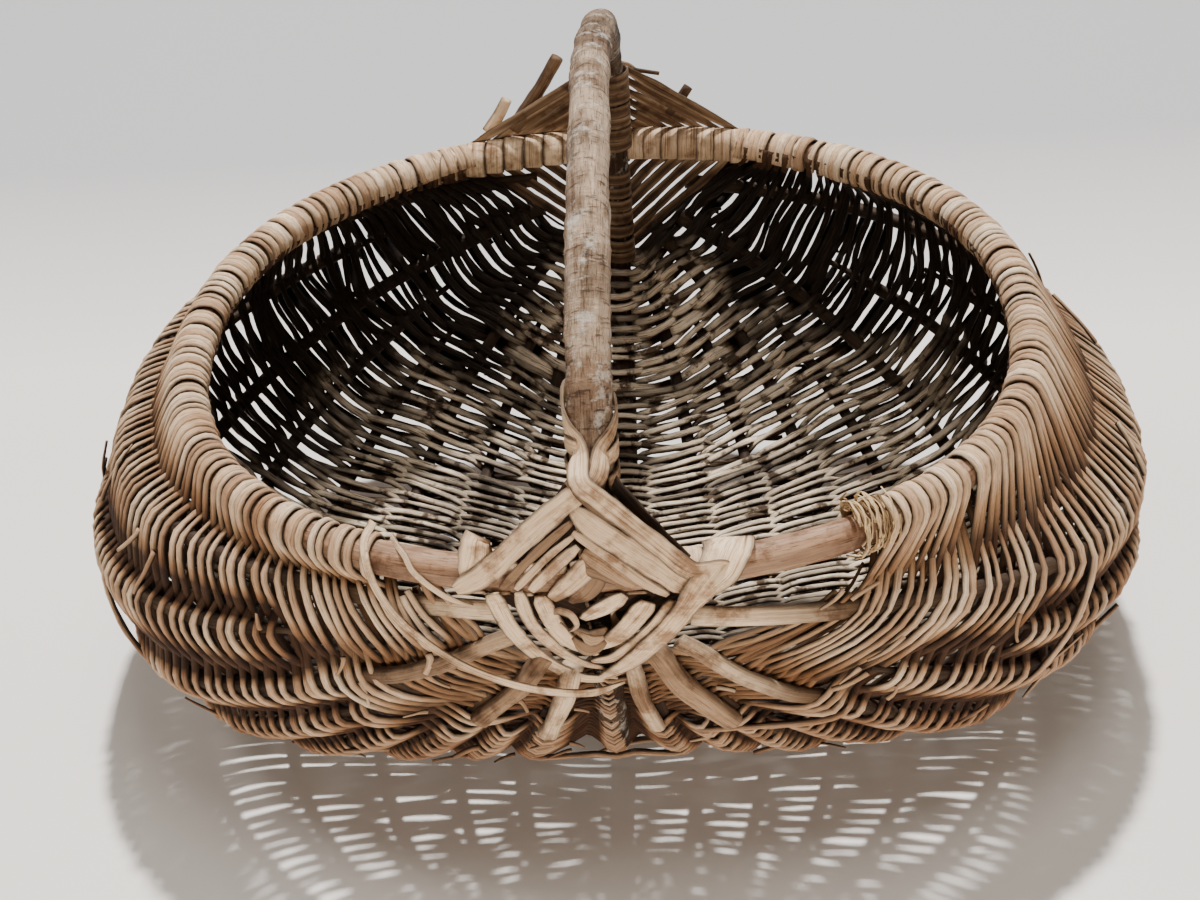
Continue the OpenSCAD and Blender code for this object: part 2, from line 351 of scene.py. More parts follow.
def math_(nt, op, a, b=0.0, clamp=False):
    n = nd(nt, "ShaderNodeMath", operation=op, use_clamp=clamp)
    for i, v in ((0, a), (1, b)):
        if isinstance(v, bpy.types.NodeSocket):
            nt.links.new(v, n.inputs[i])
        else:
            n.inputs[i].default_value = v
    return n.outputs[0]


def maprange(nt, v, a, b, c=0.0, d=1.0):
    n = nd(nt, "ShaderNodeMapRange", ins={0: v, 1: a, 2: b, 3: c, 4: d})
    n.clamp = True
    return n.outputs[0]


def noise(nt, vec, scale, detail=3.0, rough=0.55, dims="3D", w=None, distort=0.0):
    n = nd(nt, "ShaderNodeTexNoise", noise_dimensions=dims)
    if vec is not None:
        nt.links.new(vec, n.inputs["Vector"])
    n.inputs["Scale"].default_value = scale
    n.inputs["Detail"].default_value = detail
    n.inputs["Roughness"].default_value = rough
    n.inputs["Distortion"].default_value = distort
    if w is not None:
        nt.links.new(w, n.inputs["W"])
    return n.outputs[0]


def fibre_setup(nt, length_scale, around):
    """Texture space that runs along the strand, different on each strand."""
    fl = nd(nt, "ShaderNodeAttribute", attribute_name="flow")
    ti = nd(nt, "ShaderNodeAttribute", attribute_name="tint")
    sep = nd(nt, "ShaderNodeSeparateXYZ", ins={0: fl.outputs["Vector"]})
    tsep = nd(nt, "ShaderNodeSeparateColor", ins={0: ti.outputs["Color"]})
    ang = math_(nt, "MULTIPLY", sep.outputs[1], 2 * math.pi)
    cs = math_(nt, "MULTIPLY", math_(nt, "COSINE", ang), around)
    sn = math_(nt, "MULTIPLY", math_(nt, "SINE", ang), around)
    off = math_(nt, "MULTIPLY", sep.outputs[2], 37.0)
    al = math_(nt, "ADD", math_(nt, "MULTIPLY", sep.outputs[0], length_scale), off)
    com = nd(nt, "ShaderNodeCombineXYZ", ins={0: al, 1: cs, 2: sn})
    return com.outputs[0], sep, tsep, ti.outputs["Alpha"]


def bump(nt, height, strength, dist, normal=None):
    n = nd(nt, "ShaderNodeBump", ins={"Strength": strength, "Distance": dist, "Height": height})
    if normal is not None:
        nt.links.new(normal, n.inputs["Normal"])
    return n.outputs[0]


def weaver_material():
    """Thin willow: tan and golden outside; inside, painted shade near black on the side walls
    and grey on the floor with worn patches and painted light."""
    m, nt, bs = mat_new("weaver")
    vec, flow, tint, alpha = fibre_setup(nt, 22.0, 1.1)
    geo = nd(nt, "ShaderNodeTexCoord")
    obj = geo.outputs["Object"]
    rnd, rnd2, ins = tint.outputs[0], tint.outputs[1], tint.outputs[2]
    fib = noise(nt, vec, 3.0, 5.0, 0.6)
    blotch = noise(nt, obj, 22.0, 3.0, 0.6)
    fine = noise(nt, obj, 420.0, 2.0, 0.6)
    # outside colour
    outc = ramp(nt, rnd, [(0.0, (0.55, 0.355, 0.22)), (0.3, (0.77, 0.54, 0.35)), (0.7, (0.93, 0.70, 0.485)), (1.0, (1.0, 0.82, 0.61))])
    dark = ramp(nt, fib, [(0.28, (0.46, 0.38, 0.32)), (0.46, (0.9, 0.87, 0.84)), (0.72, (1.12, 1.12, 1.12))])
    outc = mixc(nt, 1.0, outc, dark, "MULTIPLY")
    sc = nd(nt, "ShaderNodeVectorMath", operation="MULTIPLY", ins={0: vec, 1: (2.6, 2.4, 2.4)}).outputs[0]
    streak = noise(nt, sc, 5.0, 4.0, 0.7)
    outc = mixc(nt, 1.0, outc, ramp(nt, streak, [(0.34, (0.36, 0.27, 0.21)), (0.44, (0.96, 0.94, 0.92)), (0.7, (1.06, 1.05, 1.04))]), "MULTIPLY")
    bl = ramp(nt, blotch, [(0.32, (0.66, 0.55, 0.46)), (0.52, (1, 1, 1)), (0.8, (1.12, 1.1, 1.06))])
    outc = mixc(nt, 1.0, outc, bl, "MULTIPLY")
    # redder and darker towards the underside
    hz = nd(nt, "ShaderNodeSeparateXYZ", ins={0: obj}).outputs[2]
    under = maprange(nt, math_(nt, "ADD", hz, math_(nt, "MULTIPLY", math_(nt, "SUBTRACT", blotch, 0.5), 0.06)), 0.125, 0.02)
    outc = mixc(nt, math_(nt, "MULTIPLY", under, 0.82), outc, mixc(nt, 1.0, outc, (0.62, 0.43, 0.33), "MULTIPLY"))
    # inside colour: a shaded and a lit copy, painted shade and painted light; alpha holds how worn and how lit the
    # inside is there
    inside_shaded = ramp(nt, fib, [(0.3, (0.005, 0.003, 0.002)), (0.55, (0.026, 0.016, 0.010)), (0.80, (0.11, 0.070, 0.045))])
    inside_lit_worn = ramp(nt, fib, [(0.29, (0.02, 0.015, 0.011)), (0.36, (0.24, 0.175, 0.125)), (0.43, (0.84, 0.66, 0.48)), (0.56, (1.0, 0.85, 0.66))])
    wear_and_painted_light = maprange(nt, math_(nt, "ADD", alpha, math_(nt, "MULTIPLY", math_(nt, "SUBTRACT", blotch, 0.5), 1.1)), 0.3, 0.75)
    wear_and_painted_light = math_(nt, "MULTIPLY", wear_and_painted_light, maprange(nt, rnd2, 0.05, 0.4, 0.25, 1.0))
    grime = noise(nt, obj, 75.0, 4.0, 0.6)
    inside_lit_worn = mixc(nt, 1.0, inside_lit_worn, ramp(nt, grime, [(0.37, (0.16, 0.125, 0.10)), (0.45, (1.0, 0.97, 0.93)), (0.62, (1.22, 1.19, 1.15))]), "MULTIPLY")
    inn = mixc(nt, wear_and_painted_light, inside_shaded, inside_lit_worn)
    side = maprange(nt, math_(nt, "ADD", ins, math_(nt, "MULTIPLY", math_(nt, "SUBTRACT", fib, 0.5), 0.25)), 0.42, 0.66)
    col = mixc(nt, side, outc, inn)
    # painted shade and dirt: the deeper a strand lies in the wall, seen from its own face, the darker it is painted
    rc = nd(nt, "ShaderNodeAttribute", attribute_name="recess").outputs["Fac"]
    rin = math_(nt, "SUBTRACT", 1.0, rc)
    deepv = mixc(nt, side, rc, rin)
    dirt_and_shade = ramp(nt, math_(nt, "ADD", deepv, math_(nt, "MULTIPLY", math_(nt, "SUBTRACT", blotch, 0.5), 0.3)),
                [(0.10, (1.0, 1.0, 1.0)), (0.33, (0.66, 0.55, 0.45)), (0.64, (0.12, 0.08, 0.058))])
    col = mixc(nt, 1.0, col, dirt_and_shade, "MULTIPLY")
    # grime and painted shade lie along both edges of every weaver, more of them inside
    ed = nd(nt, "ShaderNodeAttribute", attribute_name="edge").outputs["Fac"]
    ed = maprange(nt, math_(nt, "ADD", ed, math_(nt, "MULTIPLY", math_(nt, "SUBTRACT", streak, 0.5), 0.5)), 0.55, 1.0)
    col = mixc(nt, math_(nt, "MULTIPLY", ed, maprange(nt, side, 0.0, 1.0, 0.62, 0.92)), col, (0.035, 0.022, 0.015))
    nt.links.new(col, bs.inputs["Base Color"])
    rough = maprange(nt, fib, 0.2, 0.8, 0.86, 0.62)
    nt.links.new(rough, bs.inputs["Roughness"])
    bs.inputs["Specular IOR Level"].default_value = 0.28
    h = math_(nt, "ADD", math_(nt, "ADD", math_(nt, "MULTIPLY", fib, 1.0), math_(nt, "MULTIPLY", fine, 0.5)), math_(nt, "MULTIPLY", streak, 0.8))
    nt.links.new(bump(nt, h, 0.85, 0.0012), bs.inputs["Normal"])
    return m


def rod_material(name, stops, grain=2.2, length=16.0, stain=0.5, strength=0.5, rings=False, rough=(0.8, 0.6), edges=0.0):
    m, nt, bs = mat_new(name)
    vec, flow, tint, alpha = fibre_setup(nt, length, grain)
    obj = nd(nt, "ShaderNodeTexCoord").outputs["Object"]
    fib = noise(nt, vec, 2.2, 6.0, 0.62)
    blotch = noise(nt, obj, 30.0, 4.0, 0.6)
    fine = noise(nt, obj, 380.0, 3.0, 0.6)
    col = ramp(nt, math_(nt, "ADD", math_(nt, "MULTIPLY", fib, 0.65), math_(nt, "MULTIPLY", blotch, 0.35)), stops)
    st = ramp(nt, blotch, [(0.3, (1 - stain, 1 - stain * 1.1, 1 - stain * 1.2)), (0.5, (1, 1, 1)), (1.0, (1.05, 1.04, 1.0))])
    col = mixc(nt, 1.0, col, st, "MULTIPLY")
    sc = nd(nt, "ShaderNodeVectorMath", operation="MULTIPLY", ins={0: vec, 1: (2.2, 2.6, 2.6)}).outputs[0]
    streak = noise(nt, sc, 4.0, 4.0, 0.7)
    col = mixc(nt, 1.0, col, ramp(nt, streak, [(0.35, (0.36, 0.28, 0.22)), (0.45, (0.92, 0.89, 0.86)), (0.7, (1.08, 1.07, 1.06))]), "MULTIPLY")
    shade = ramp(nt, tint.outputs[0], [(0.0, (0.20, 0.145, 0.105)), (0.3, (0.55, 0.46, 0.39)), (0.6, (0.92, 0.88, 0.84)), (1.0, (1.14, 1.13, 1.1))])
    col = mixc(nt, 1.0, col, shade, "MULTIPLY")
    # painted shade and dirt: the third tint channel darkens parts inside the bowl, under the weave, in the cracks of
    # the lashing and on faces turned into the basket
    dirt_and_shade = ramp(nt, tint.outputs[2], [(0.0, (1, 1, 1)), (0.75, (0.21, 0.16, 0.12)), (1.0, (0.06, 0.045, 0.035))])
    col = mixc(nt, 1.0, col, dirt_and_shade, "MULTIPLY")
    h = math_(nt, "ADD", math_(nt, "MULTIPLY", fib, 1.0), math_(nt, "MULTIPLY", fine, 0.4))
    # painted shade and grime along both edges of every strip, where it meets its neighbours
    if edges:
        ed = nd(nt, "ShaderNodeAttribute", attribute_name="edge").outputs["Fac"]
        ed = maprange(nt, math_(nt, "ADD", ed, math_(nt, "MULTIPLY", math_(nt, "SUBTRACT", streak, 0.5), 0.55)), 0.76, 1.02)
        col = mixc(nt, math_(nt, "MULTIPLY", ed, edges), col, (0.06, 0.035, 0.022))
        stains = noise(nt, obj, 55.0, 5.0, 0.65)
        col = mixc(nt, maprange(nt, stains, 0.51, 0.64, 0.0, 0.85), col, mixc(nt, 1.0, col, (0.34, 0.24, 0.17), "MULTIPLY"))
    if rings:
        rv = nd(nt, "ShaderNodeMapping", ins={0: obj})
        cr = noise(nt, vec, 9.0, 4.0, 0.7)
        crack = ramp(nt, cr, [(0.34, (0.24, 0.18, 0.14)), (0.41, (1, 1, 1)), (1.0, (1, 1, 1))])
        col = mixc(nt, 0.7, col, crack, "MULTIPLY")
        patch = noise(nt, obj, 17.0, 5.0, 0.65)
        low = maprange(nt, nd(nt, "ShaderNodeSeparateXYZ", ins={0: obj}).outputs[2], 0.34, 0.25)
        pm = maprange(nt, math_(nt, "ADD", patch, math_(nt, "MULTIPLY", low, 0.07)), 0.50, 0.60)
        col = mixc(nt, math_(nt, "MULTIPLY", pm, 0.80), col, mixc(nt, 1.0, col, (0.42, 0.31, 0.235), "MULTIPLY"))
        lich = noise(nt, obj, 95.0, 5.0, 0.7)
        pale = maprange(nt, lich, 0.54, 0.64)
        rc2 = nd(nt, "ShaderNodeVectorMath", operation="MULTIPLY", ins={0: vec, 1: (34.0, 0.9, 0.9)}).outputs[0]
        ringn = noise(nt, rc2, 1.0, 3.0, 0.6)
        col = mixc(nt, 0.8, col, ramp(nt, ringn, [(0.36, (0.22, 0.16, 0.12)), (0.43, (0.97, 0.96, 0.95)), (0.60, (1.0, 1.0, 1.0)), (0.70, (1.18, 1.17, 1.15))]), "MULTIPLY")
        h = math_(nt, "ADD", h, math_(nt, "MULTIPLY", ringn, 1.2))
        col = mixc(nt, math_(nt, "MULTIPLY", pale, 0.60), col, (0.62, 0.57, 0.50))
        h = math_(nt, "ADD", h, math_(nt, "MULTIPLY", cr, 1.4))
    nt.links.new(col, bs.inputs["Base Color"])
    nt.links.new(maprange(nt, fib, 0.25, 0.75, rough[0], rough[1]), bs.inputs["Roughness"])
    bs.inputs["Specular IOR Level"].default_value = 0.3
    nt.links.new(bump(nt, h, strength, 0.0012), bs.inputs["Normal"])
    return m


M_WEAVER = weaver_material()
M_HANDLE = rod_material("handle_bark", [(0.28, (0.10, 0.06, 0.035)), (0.38, (0.25, 0.18, 0.125)), (0.48, (0.47, 0.37, 0.28)), (0.66, (0.66, 0.545, 0.43))],
                        grain=1.3, length=14.0, stain=0.42, strength=0.8, rings=True, rough=(0.85, 0.62))
M_RIM = rod_material("rim_bark", [(0.30, (0.13, 0.065, 0.036)), (0.43, (0.33, 0.195, 0.12)), (0.56, (0.50, 0.34, 0.23)), (0.8, (0.66, 0.50, 0.37))],
                     grain=1.0, length=10.0, stain=0.45, strength=0.5, rough=(0.7, 0.5), edges=0.3)
M_RIB = rod_material("rib_wood", [(0.28, (0.22, 0.14, 0.085)), (0.42, (0.54, 0.40, 0.27)), (0.56, (0.76, 0.61, 0.44)), (0.8, (0.88, 0.74, 0.57))],
                     grain=1.6, length=9.0, stain=0.5, strength=0.7, edges=0.45)
M_SPLINT = rod_material("splint_wood", [(0.31, (0.08, 0.04, 0.02)), (0.39, (0.42, 0.27, 0.155)), (0.48, (0.78, 0.59, 0.405)), (0.72, (0.94, 0.78, 0.585))],
                        grain=2.6, length=7.0, stain=0.5, strength=0.6, rough=(0.78, 0.55), edges=0.9)
M_STRAW = rod_material("straw", [(0.2, (0.22, 0.13, 0.07)), (0.42, (0.58, 0.42, 0.23)), (0.62, (0.84, 0.67, 0.42)), (0.85, (0.92, 0.79, 0.56))],
                       grain=1.0, length=20.0, stain=0.3, strength=0.4)

# ------------------------------------------------------------------ rods
LEFT = [(6.5, 10.5, 169, RIB_R), (15.5, 30, 151, FILL_R), (27, 9, 170, RIB_R), (36, 26, 154, FILL_R),
        (45, 30, 150, FILL_R), (54, 10, 170, RIB_R), (63.5, 28, 152, FILL_R), (73, 15, 165, RIB_R)]
RIGHT = [(13.5, 8.5, 171, RIB_R), (21, 42, 140, FILL_R), (29, 27, 152, FILL_R), (40, 9, 170, RIB_R),
         (49, 29, 151, FILL_R), (58, 10, 170, RIB_R), (67, 28, 152, FILL_R), (77, 19, 161, RIB_R)]


# cut ends lying over the weave in front: t from, t to, half width, lift, shade
STUBS = {("left", 6): (11, 24.6, 5.0, 5.5, 0.2), ("left", 8): (15, 29.5, 4.9, 6.5, 0.8),
         ("right", 6): (11, 27.0, 5.6, 6.0, 0.28), ("right", 8): (16, 29.0, 4.0, 6.5, 0.55)}


# ribs that only enter the weave further back: t where they dip in, lift before that
LIFTED = {("left", 3): (20.0, 5.2), ("right", 4): (21.0, 5.2)}


def hoop_pt(u):
    """Upright hoop: handle above, keel below. u in degrees, 0 at the front rim."""
    u = np.asarray(u, float)
    ur = np.radians(u)
    c, s = np.cos(ur), np.sin(ur)
    up = s >= 0
    n = np.where(up, 2.2, soft(SQUARE, 90.0))
    d = np.where(up, HANDLE_RISE, reach(np.array(90.0)))
    r = (np.abs(c) ** n + np.abs(s) ** n) ** (-1 / n)
    return np.stack([0 * u, -HOOP_HALF * c * r, RIM_Z + d * s * r], -1)


def hoop_r(u):
    s = np.sin(np.radians(u))
    return KEEL_R + (HANDLE_R - KEEL_R) * np.clip((s + 0.35) / 0.5, 0, 1)


def bark(n, m, seed, amp, ring=0.0, knots=()):
    """Relative radius offsets over a rod's grid of n rings and m sides."""
    nz, nf = Noise2(seed), Noise2(seed + 1)
    i = np.arange(n)[:, None] * np.ones((1, m))
    k = np.arange(m)[None, :] * np.ones((n, 1))
    wrap = 0.5 - 0.5 * np.cos(2 * np.pi * k / m)
    d = amp * (nz(i / 9.0, 6.0 * np.cos(2 * np.pi * k / m) / 3) + 0.6 * nf(i / 3.2, 5 * np.sin(2 * np.pi * k / m) / 2))
    if ring:
        rr = Noise2(seed + 2)
        d += ring * np.maximum(0, rr(i / 1.6, 0.6 * wrap * 2)) ** 2
    for (ki, kk, rad, hgt) in knots:
        dk = np.minimum(np.abs(k - kk), m - np.abs(k - kk))
        q = ((i - ki) / rad[0]) ** 2 + (dk / rad[1]) ** 2
        d += hgt * np.exp(-q) * (1 - 0.9 * np.exp(-q * 5))
    return d


def build_handle():
    b = Bag()
    n, m = 640, 28
    u = np.linspace(0, 360, n + 1)[:-1] + 250
    P = hoop_pt(u)
    # resample evenly
    L = np.concatenate([[0], np.cumsum(np.linalg.norm(np.diff(np.vstack([P, P[:1]]), axis=0), axis=1))])
    uu = np.interp(np.linspace(0, L[-1], n + 1), L, np.concatenate([u, [u[0] + 360]]))
    P = hoop_pt(uu)
    up = np.clip(np.sin(np.radians(uu)), 0, 1)
    wob = Noise2(5)
    ii = np.arange(n + 1)
    P[:, 0] += up * 2.2 * wob(ii / 60.0, 0.5 + 0 * ii) + up * 0.6 * wob(ii / 17.0, 9.5 + 0 * ii)
    P[:, 2] += up * 0.8 * wob(ii / 35.0, 4.5 + 0 * ii)
    rng = np.random.default_rng(11)
    knots = [(rng.uniform(0, n), rng.uniform(0, m), (rng.uniform(2.5, 5), rng.uniform(2.2, 4)), rng.uniform(0.09, 0.2)) for _ in range(46)]
    d = bark(n + 1, m, 21, 0.035, 0.10, knots)
    r = hoop_r(uu) * 0.985
    # thinner towards the rear of the handle
    r = r * np.where(np.sin(np.radians(uu)) > 0, 1 - 0.10 * sstep((1 - np.cos(np.radians(uu))) / 2), 1)
    d = d * np.clip(0.35 + up, 0, 1)[:, None] - 0.03
    # painted shade: the keel below the rim is made dark, the rear of the hoop darker and its front a little darker
    dark = 1 - np.clip(np.sin(np.radians(uu)) * 3 + 0.4, 0, 1)
    dark = np.maximum(dark, 0.75 * sstep((-np.cos(np.radians(uu)) + 0.05) / 0.7))
    dark = np.maximum(dark, 0.10 * sstep((np.cos(np.radians(uu)) - 0.45) / 0.4))
    b.sweep(P, (1, 0, 0), r, r, m=m, rnd=(0.55, 0.5), inside=0.75 * dark, disp=d, cap=(True, True))
    ob = b.build("handle_rod", M_HANDLE)
    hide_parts("handle_hoop")
    return ob


def build_rim():
    b = Bag()
    n, m = 420, 20
    t = np.linspace(-3, 357, n + 1)
    tr = np.radians(t)
    c, s = np.cos(tr), np.sin(tr)
    r = (np.abs(c) ** 2.2 + np.abs(s) ** 2.2) ** (-1 / 2.2)
    P = np.stack([218 * s * r, -213 * c * r, RIM_Z + 0 * t], -1)
    wob = Noise2(8)
    ii = np.arange(n + 1)
    P[:, 2] += 0.8 * wob(ii / 40.0, 0 * ii + .5)
    rng = np.random.default_rng(5)
    knots = [(rng.uniform(0, n), rng.uniform(0, m), (rng.uniform(1.5, 3), rng.uniform(1.5, 3)), rng.uniform(0.05, 0.12)) for _ in range(14)]
    d = bark(n + 1, m, 41, 0.03, 0.03, knots) - 0.02
    b.sweep(P, (0, 0, 1), 8.0, 8.0, m=m, rnd=(0.5, 0.5), inside=0.0, disp=d)
    ob = b.build("rim_rod", M_RIM)
    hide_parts("rim_hoop")
    return ob


def build_ribs():
    for side, specs, nm in ((-1, LEFT, "left"), (1, RIGHT, "right")):
        for k, (a, t0, t1, r) in enumerate(specs):
            b = Bag()
            seed = 100 + k + (20 if side > 0 else 0)
            rng = np.random.default_rng(seed)
            n, m = 110, 12
            t = np.linspace(t0, t1, n)
            key = (nm, k + 1)
            if key in STUBS:
                t = np.linspace(STUBS[key][1] - 3.5, t1, n)
            P = skin(np.full(n, float(a)), t, side)
            P[:, 2] -= sink(t)
            N = skin_n(np.full(n, float(a)), t, side)
            if key in LIFTED:
                q0, lift = LIFTED[key]
                P += N * (lift * (1 - sstep((t - q0) / 6.0)) * sstep((t - t0 - 1) / 7.0))[:, None]
            wob = Noise2(seed + 50)
            ii = np.arange(n)
            P += N * (0.7 * wob(ii / 22.0, 0 * ii + .5))[:, None]
            e = np.minimum(ii, n - 1 - ii)
            main = r > 3.8
            flat = np.clip(1 - e / 16.0, 0, 1) * (1 if main else 0.3)
            w = r * (1 + 0.06 * wob(ii / 15.0, 0 * ii + 3.5)) * (1 + 0.28 * flat)
            h = r * (1 + 0.06 * wob(ii / 12.0, 0 * ii + 6.5)) * (1 - 0.42 * flat)
            if not main:
                k0 = np.clip(e / 6.0, 0.45, 1)
                w, h = w * k0, h * k0
            d = bark(n, m, seed + 70, 0.05, 0.03)
            # painted shade: dark where it is inside the bowl, among the weavers
            ins = np.clip(1 - (t - 14) / 12.0, 0, 1)
            b.sweep(P, N, w, h, m=m, power=2.3, rnd=(rng.uniform(0.3, 0.9), rng.uniform()), inside=0.97 * (1 - ins), disp=d)
            if key in STUBS:
                q0, q1, sw, lift, shade = STUBS[key]
                n = 26
                t = np.linspace(q0, q1, n)
                P = skin(np.full(n, float(a)), t, side)
                P[:, 2] -= sink(t)
                N = skin_n(np.full(n, float(a)), t, side)
                P += N * (lift * sstep((t - q0) / 6) + 1.0)[:, None]
                x = np.linspace(0, 1, n)
                ww = sw * (1 + 0.10 * wob(x * 5, 0 * x + 12.5))
                b.sweep(P, N, ww, ww * 0.72, m=m, power=2.6, rnd=(shade, 0.5), inside=0.0, disp=bark(n, m, seed + 90, 0.07))
            name = "rib_%s_%d" % (nm, k + 1)
            ob = b.build("rod_" + name, M_RIB)
            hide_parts(name)


# ------------------------------------------------------------------ weavers
# where the weave starts and stops, as t at each s across the bowl
T_START = np.array([[0, 20], [6.5, 13.5], [15, 11.5], [27, 10.5], [45, 11], [54, 12], [64, 14], [73, 16], [90, 20],
                    [103, 17], [113, 14], [122, 12], [140, 11], [152, 12.5], [160, 14.5], [166.5, 18.5], [172, 24], [180, 30]])
T_END = np.array([[0, 156], [6.5, 166], [15, 169.5], [27, 171], [54, 170.5], [73, 168], [90, 163],
                  [107, 168], [126, 170.5], [153, 171], [166.5, 169.5], [172, 165], [180, 159]])
# a rib lies wholly outside the weave from the eye to this t
STUB = {6.5: 17.5, 27: 22.5, 54: 24.5, 73: 28.5, 166.5: 24.0, 140: 23.5, 122: 26.5, 103: 28.5}
ROWS = 184
# the first rows stop at the first rib and never reach the rim
RIM_FROM = (25.0, 35.0)
bunch = Noise2(301)
own = Noise2(302)
deep = Noise2(303)


def crossings(tf):
    """Ribs met by a row, from left rim to right rim: (s, radius, forced side)."""
    out = []
    ribs = [(a, a, t0, t1, r) for a, t0, t1, r in LEFT] + [(90.0, 90.0, 0, 180, KEEL_R)] + \
           [(180 - a, a, t0, t1, r) for a, t0, t1, r in reversed(RIGHT)]
    for s, a, t0, t1, r in ribs:
        t = tf(s)
        if t0 + 1 < t < t1 - 1:
            lim = STUB.get(s, 0)
            out.append((float(s), r, -1 if t < lim else 0))
    return out


def row_table():
    """t of the row at fraction g, for each s: rows are evenly spaced along the wall."""
    SG = np.arange(0, 181, 3.0)
    GG = np.linspace(0, 1, 121)
    tt = np.linspace(10, 175, 500)
    tab = []
    for s in SG:
        P = wall(np.full(500, s), tt)
        L = np.concatenate([[0], np.cumsum(np.linalg.norm(np.diff(P, axis=0), axis=1))])
        a0 = np.interp(s, T_START[:, 0], T_START[:, 1])
        a1 = np.interp(s, T_END[:, 0], T_END[:, 1])
        l0, l1 = np.interp(a0, tt, L), np.interp(a1, tt, L)
        tab.append(np.interp(l0 + (l1 - l0) * GG, L, tt))
    tab = np.array(tab)
    for _ in range(5):
        tab[1:-1] = (tab[:-2] + 2 * tab[1:-1] + tab[2:]) / 4
    return SG, GG, tab


SG, GG, TAB = row_table()


def rim_frame(t):
    c = skin(0.0, t, 1)
    d = skin(0.0, t + .5, 1) - skin(0.0, t - .5, 1)
    d = d / np.linalg.norm(d)
    e = np.array([d[1], -d[0], 0.0])      # outward, for the right-hand side
    return c, e


def rim_arc(t, side, f0, f1, rad, dt, n=9):
    """Points round the rim rod from angle f0 to f1 (0 outward, 90 up)."""
    out = []
    for i in range(n):
        f = math.radians(f0 + (f1 - f0) * i / (n - 1))
        c, e = rim_frame(t + dt * i / (n - 1))
        p = c + rad * (math.cos(f) * e + math.sin(f) * np.array([0, 0, 1.0]))
        nr = math.cos(f) * e + math.sin(f) * np.array([0, 0, 1.0])
        p[0] *= side
        nr[0] *= side
        out.append((p, nr))
    return out


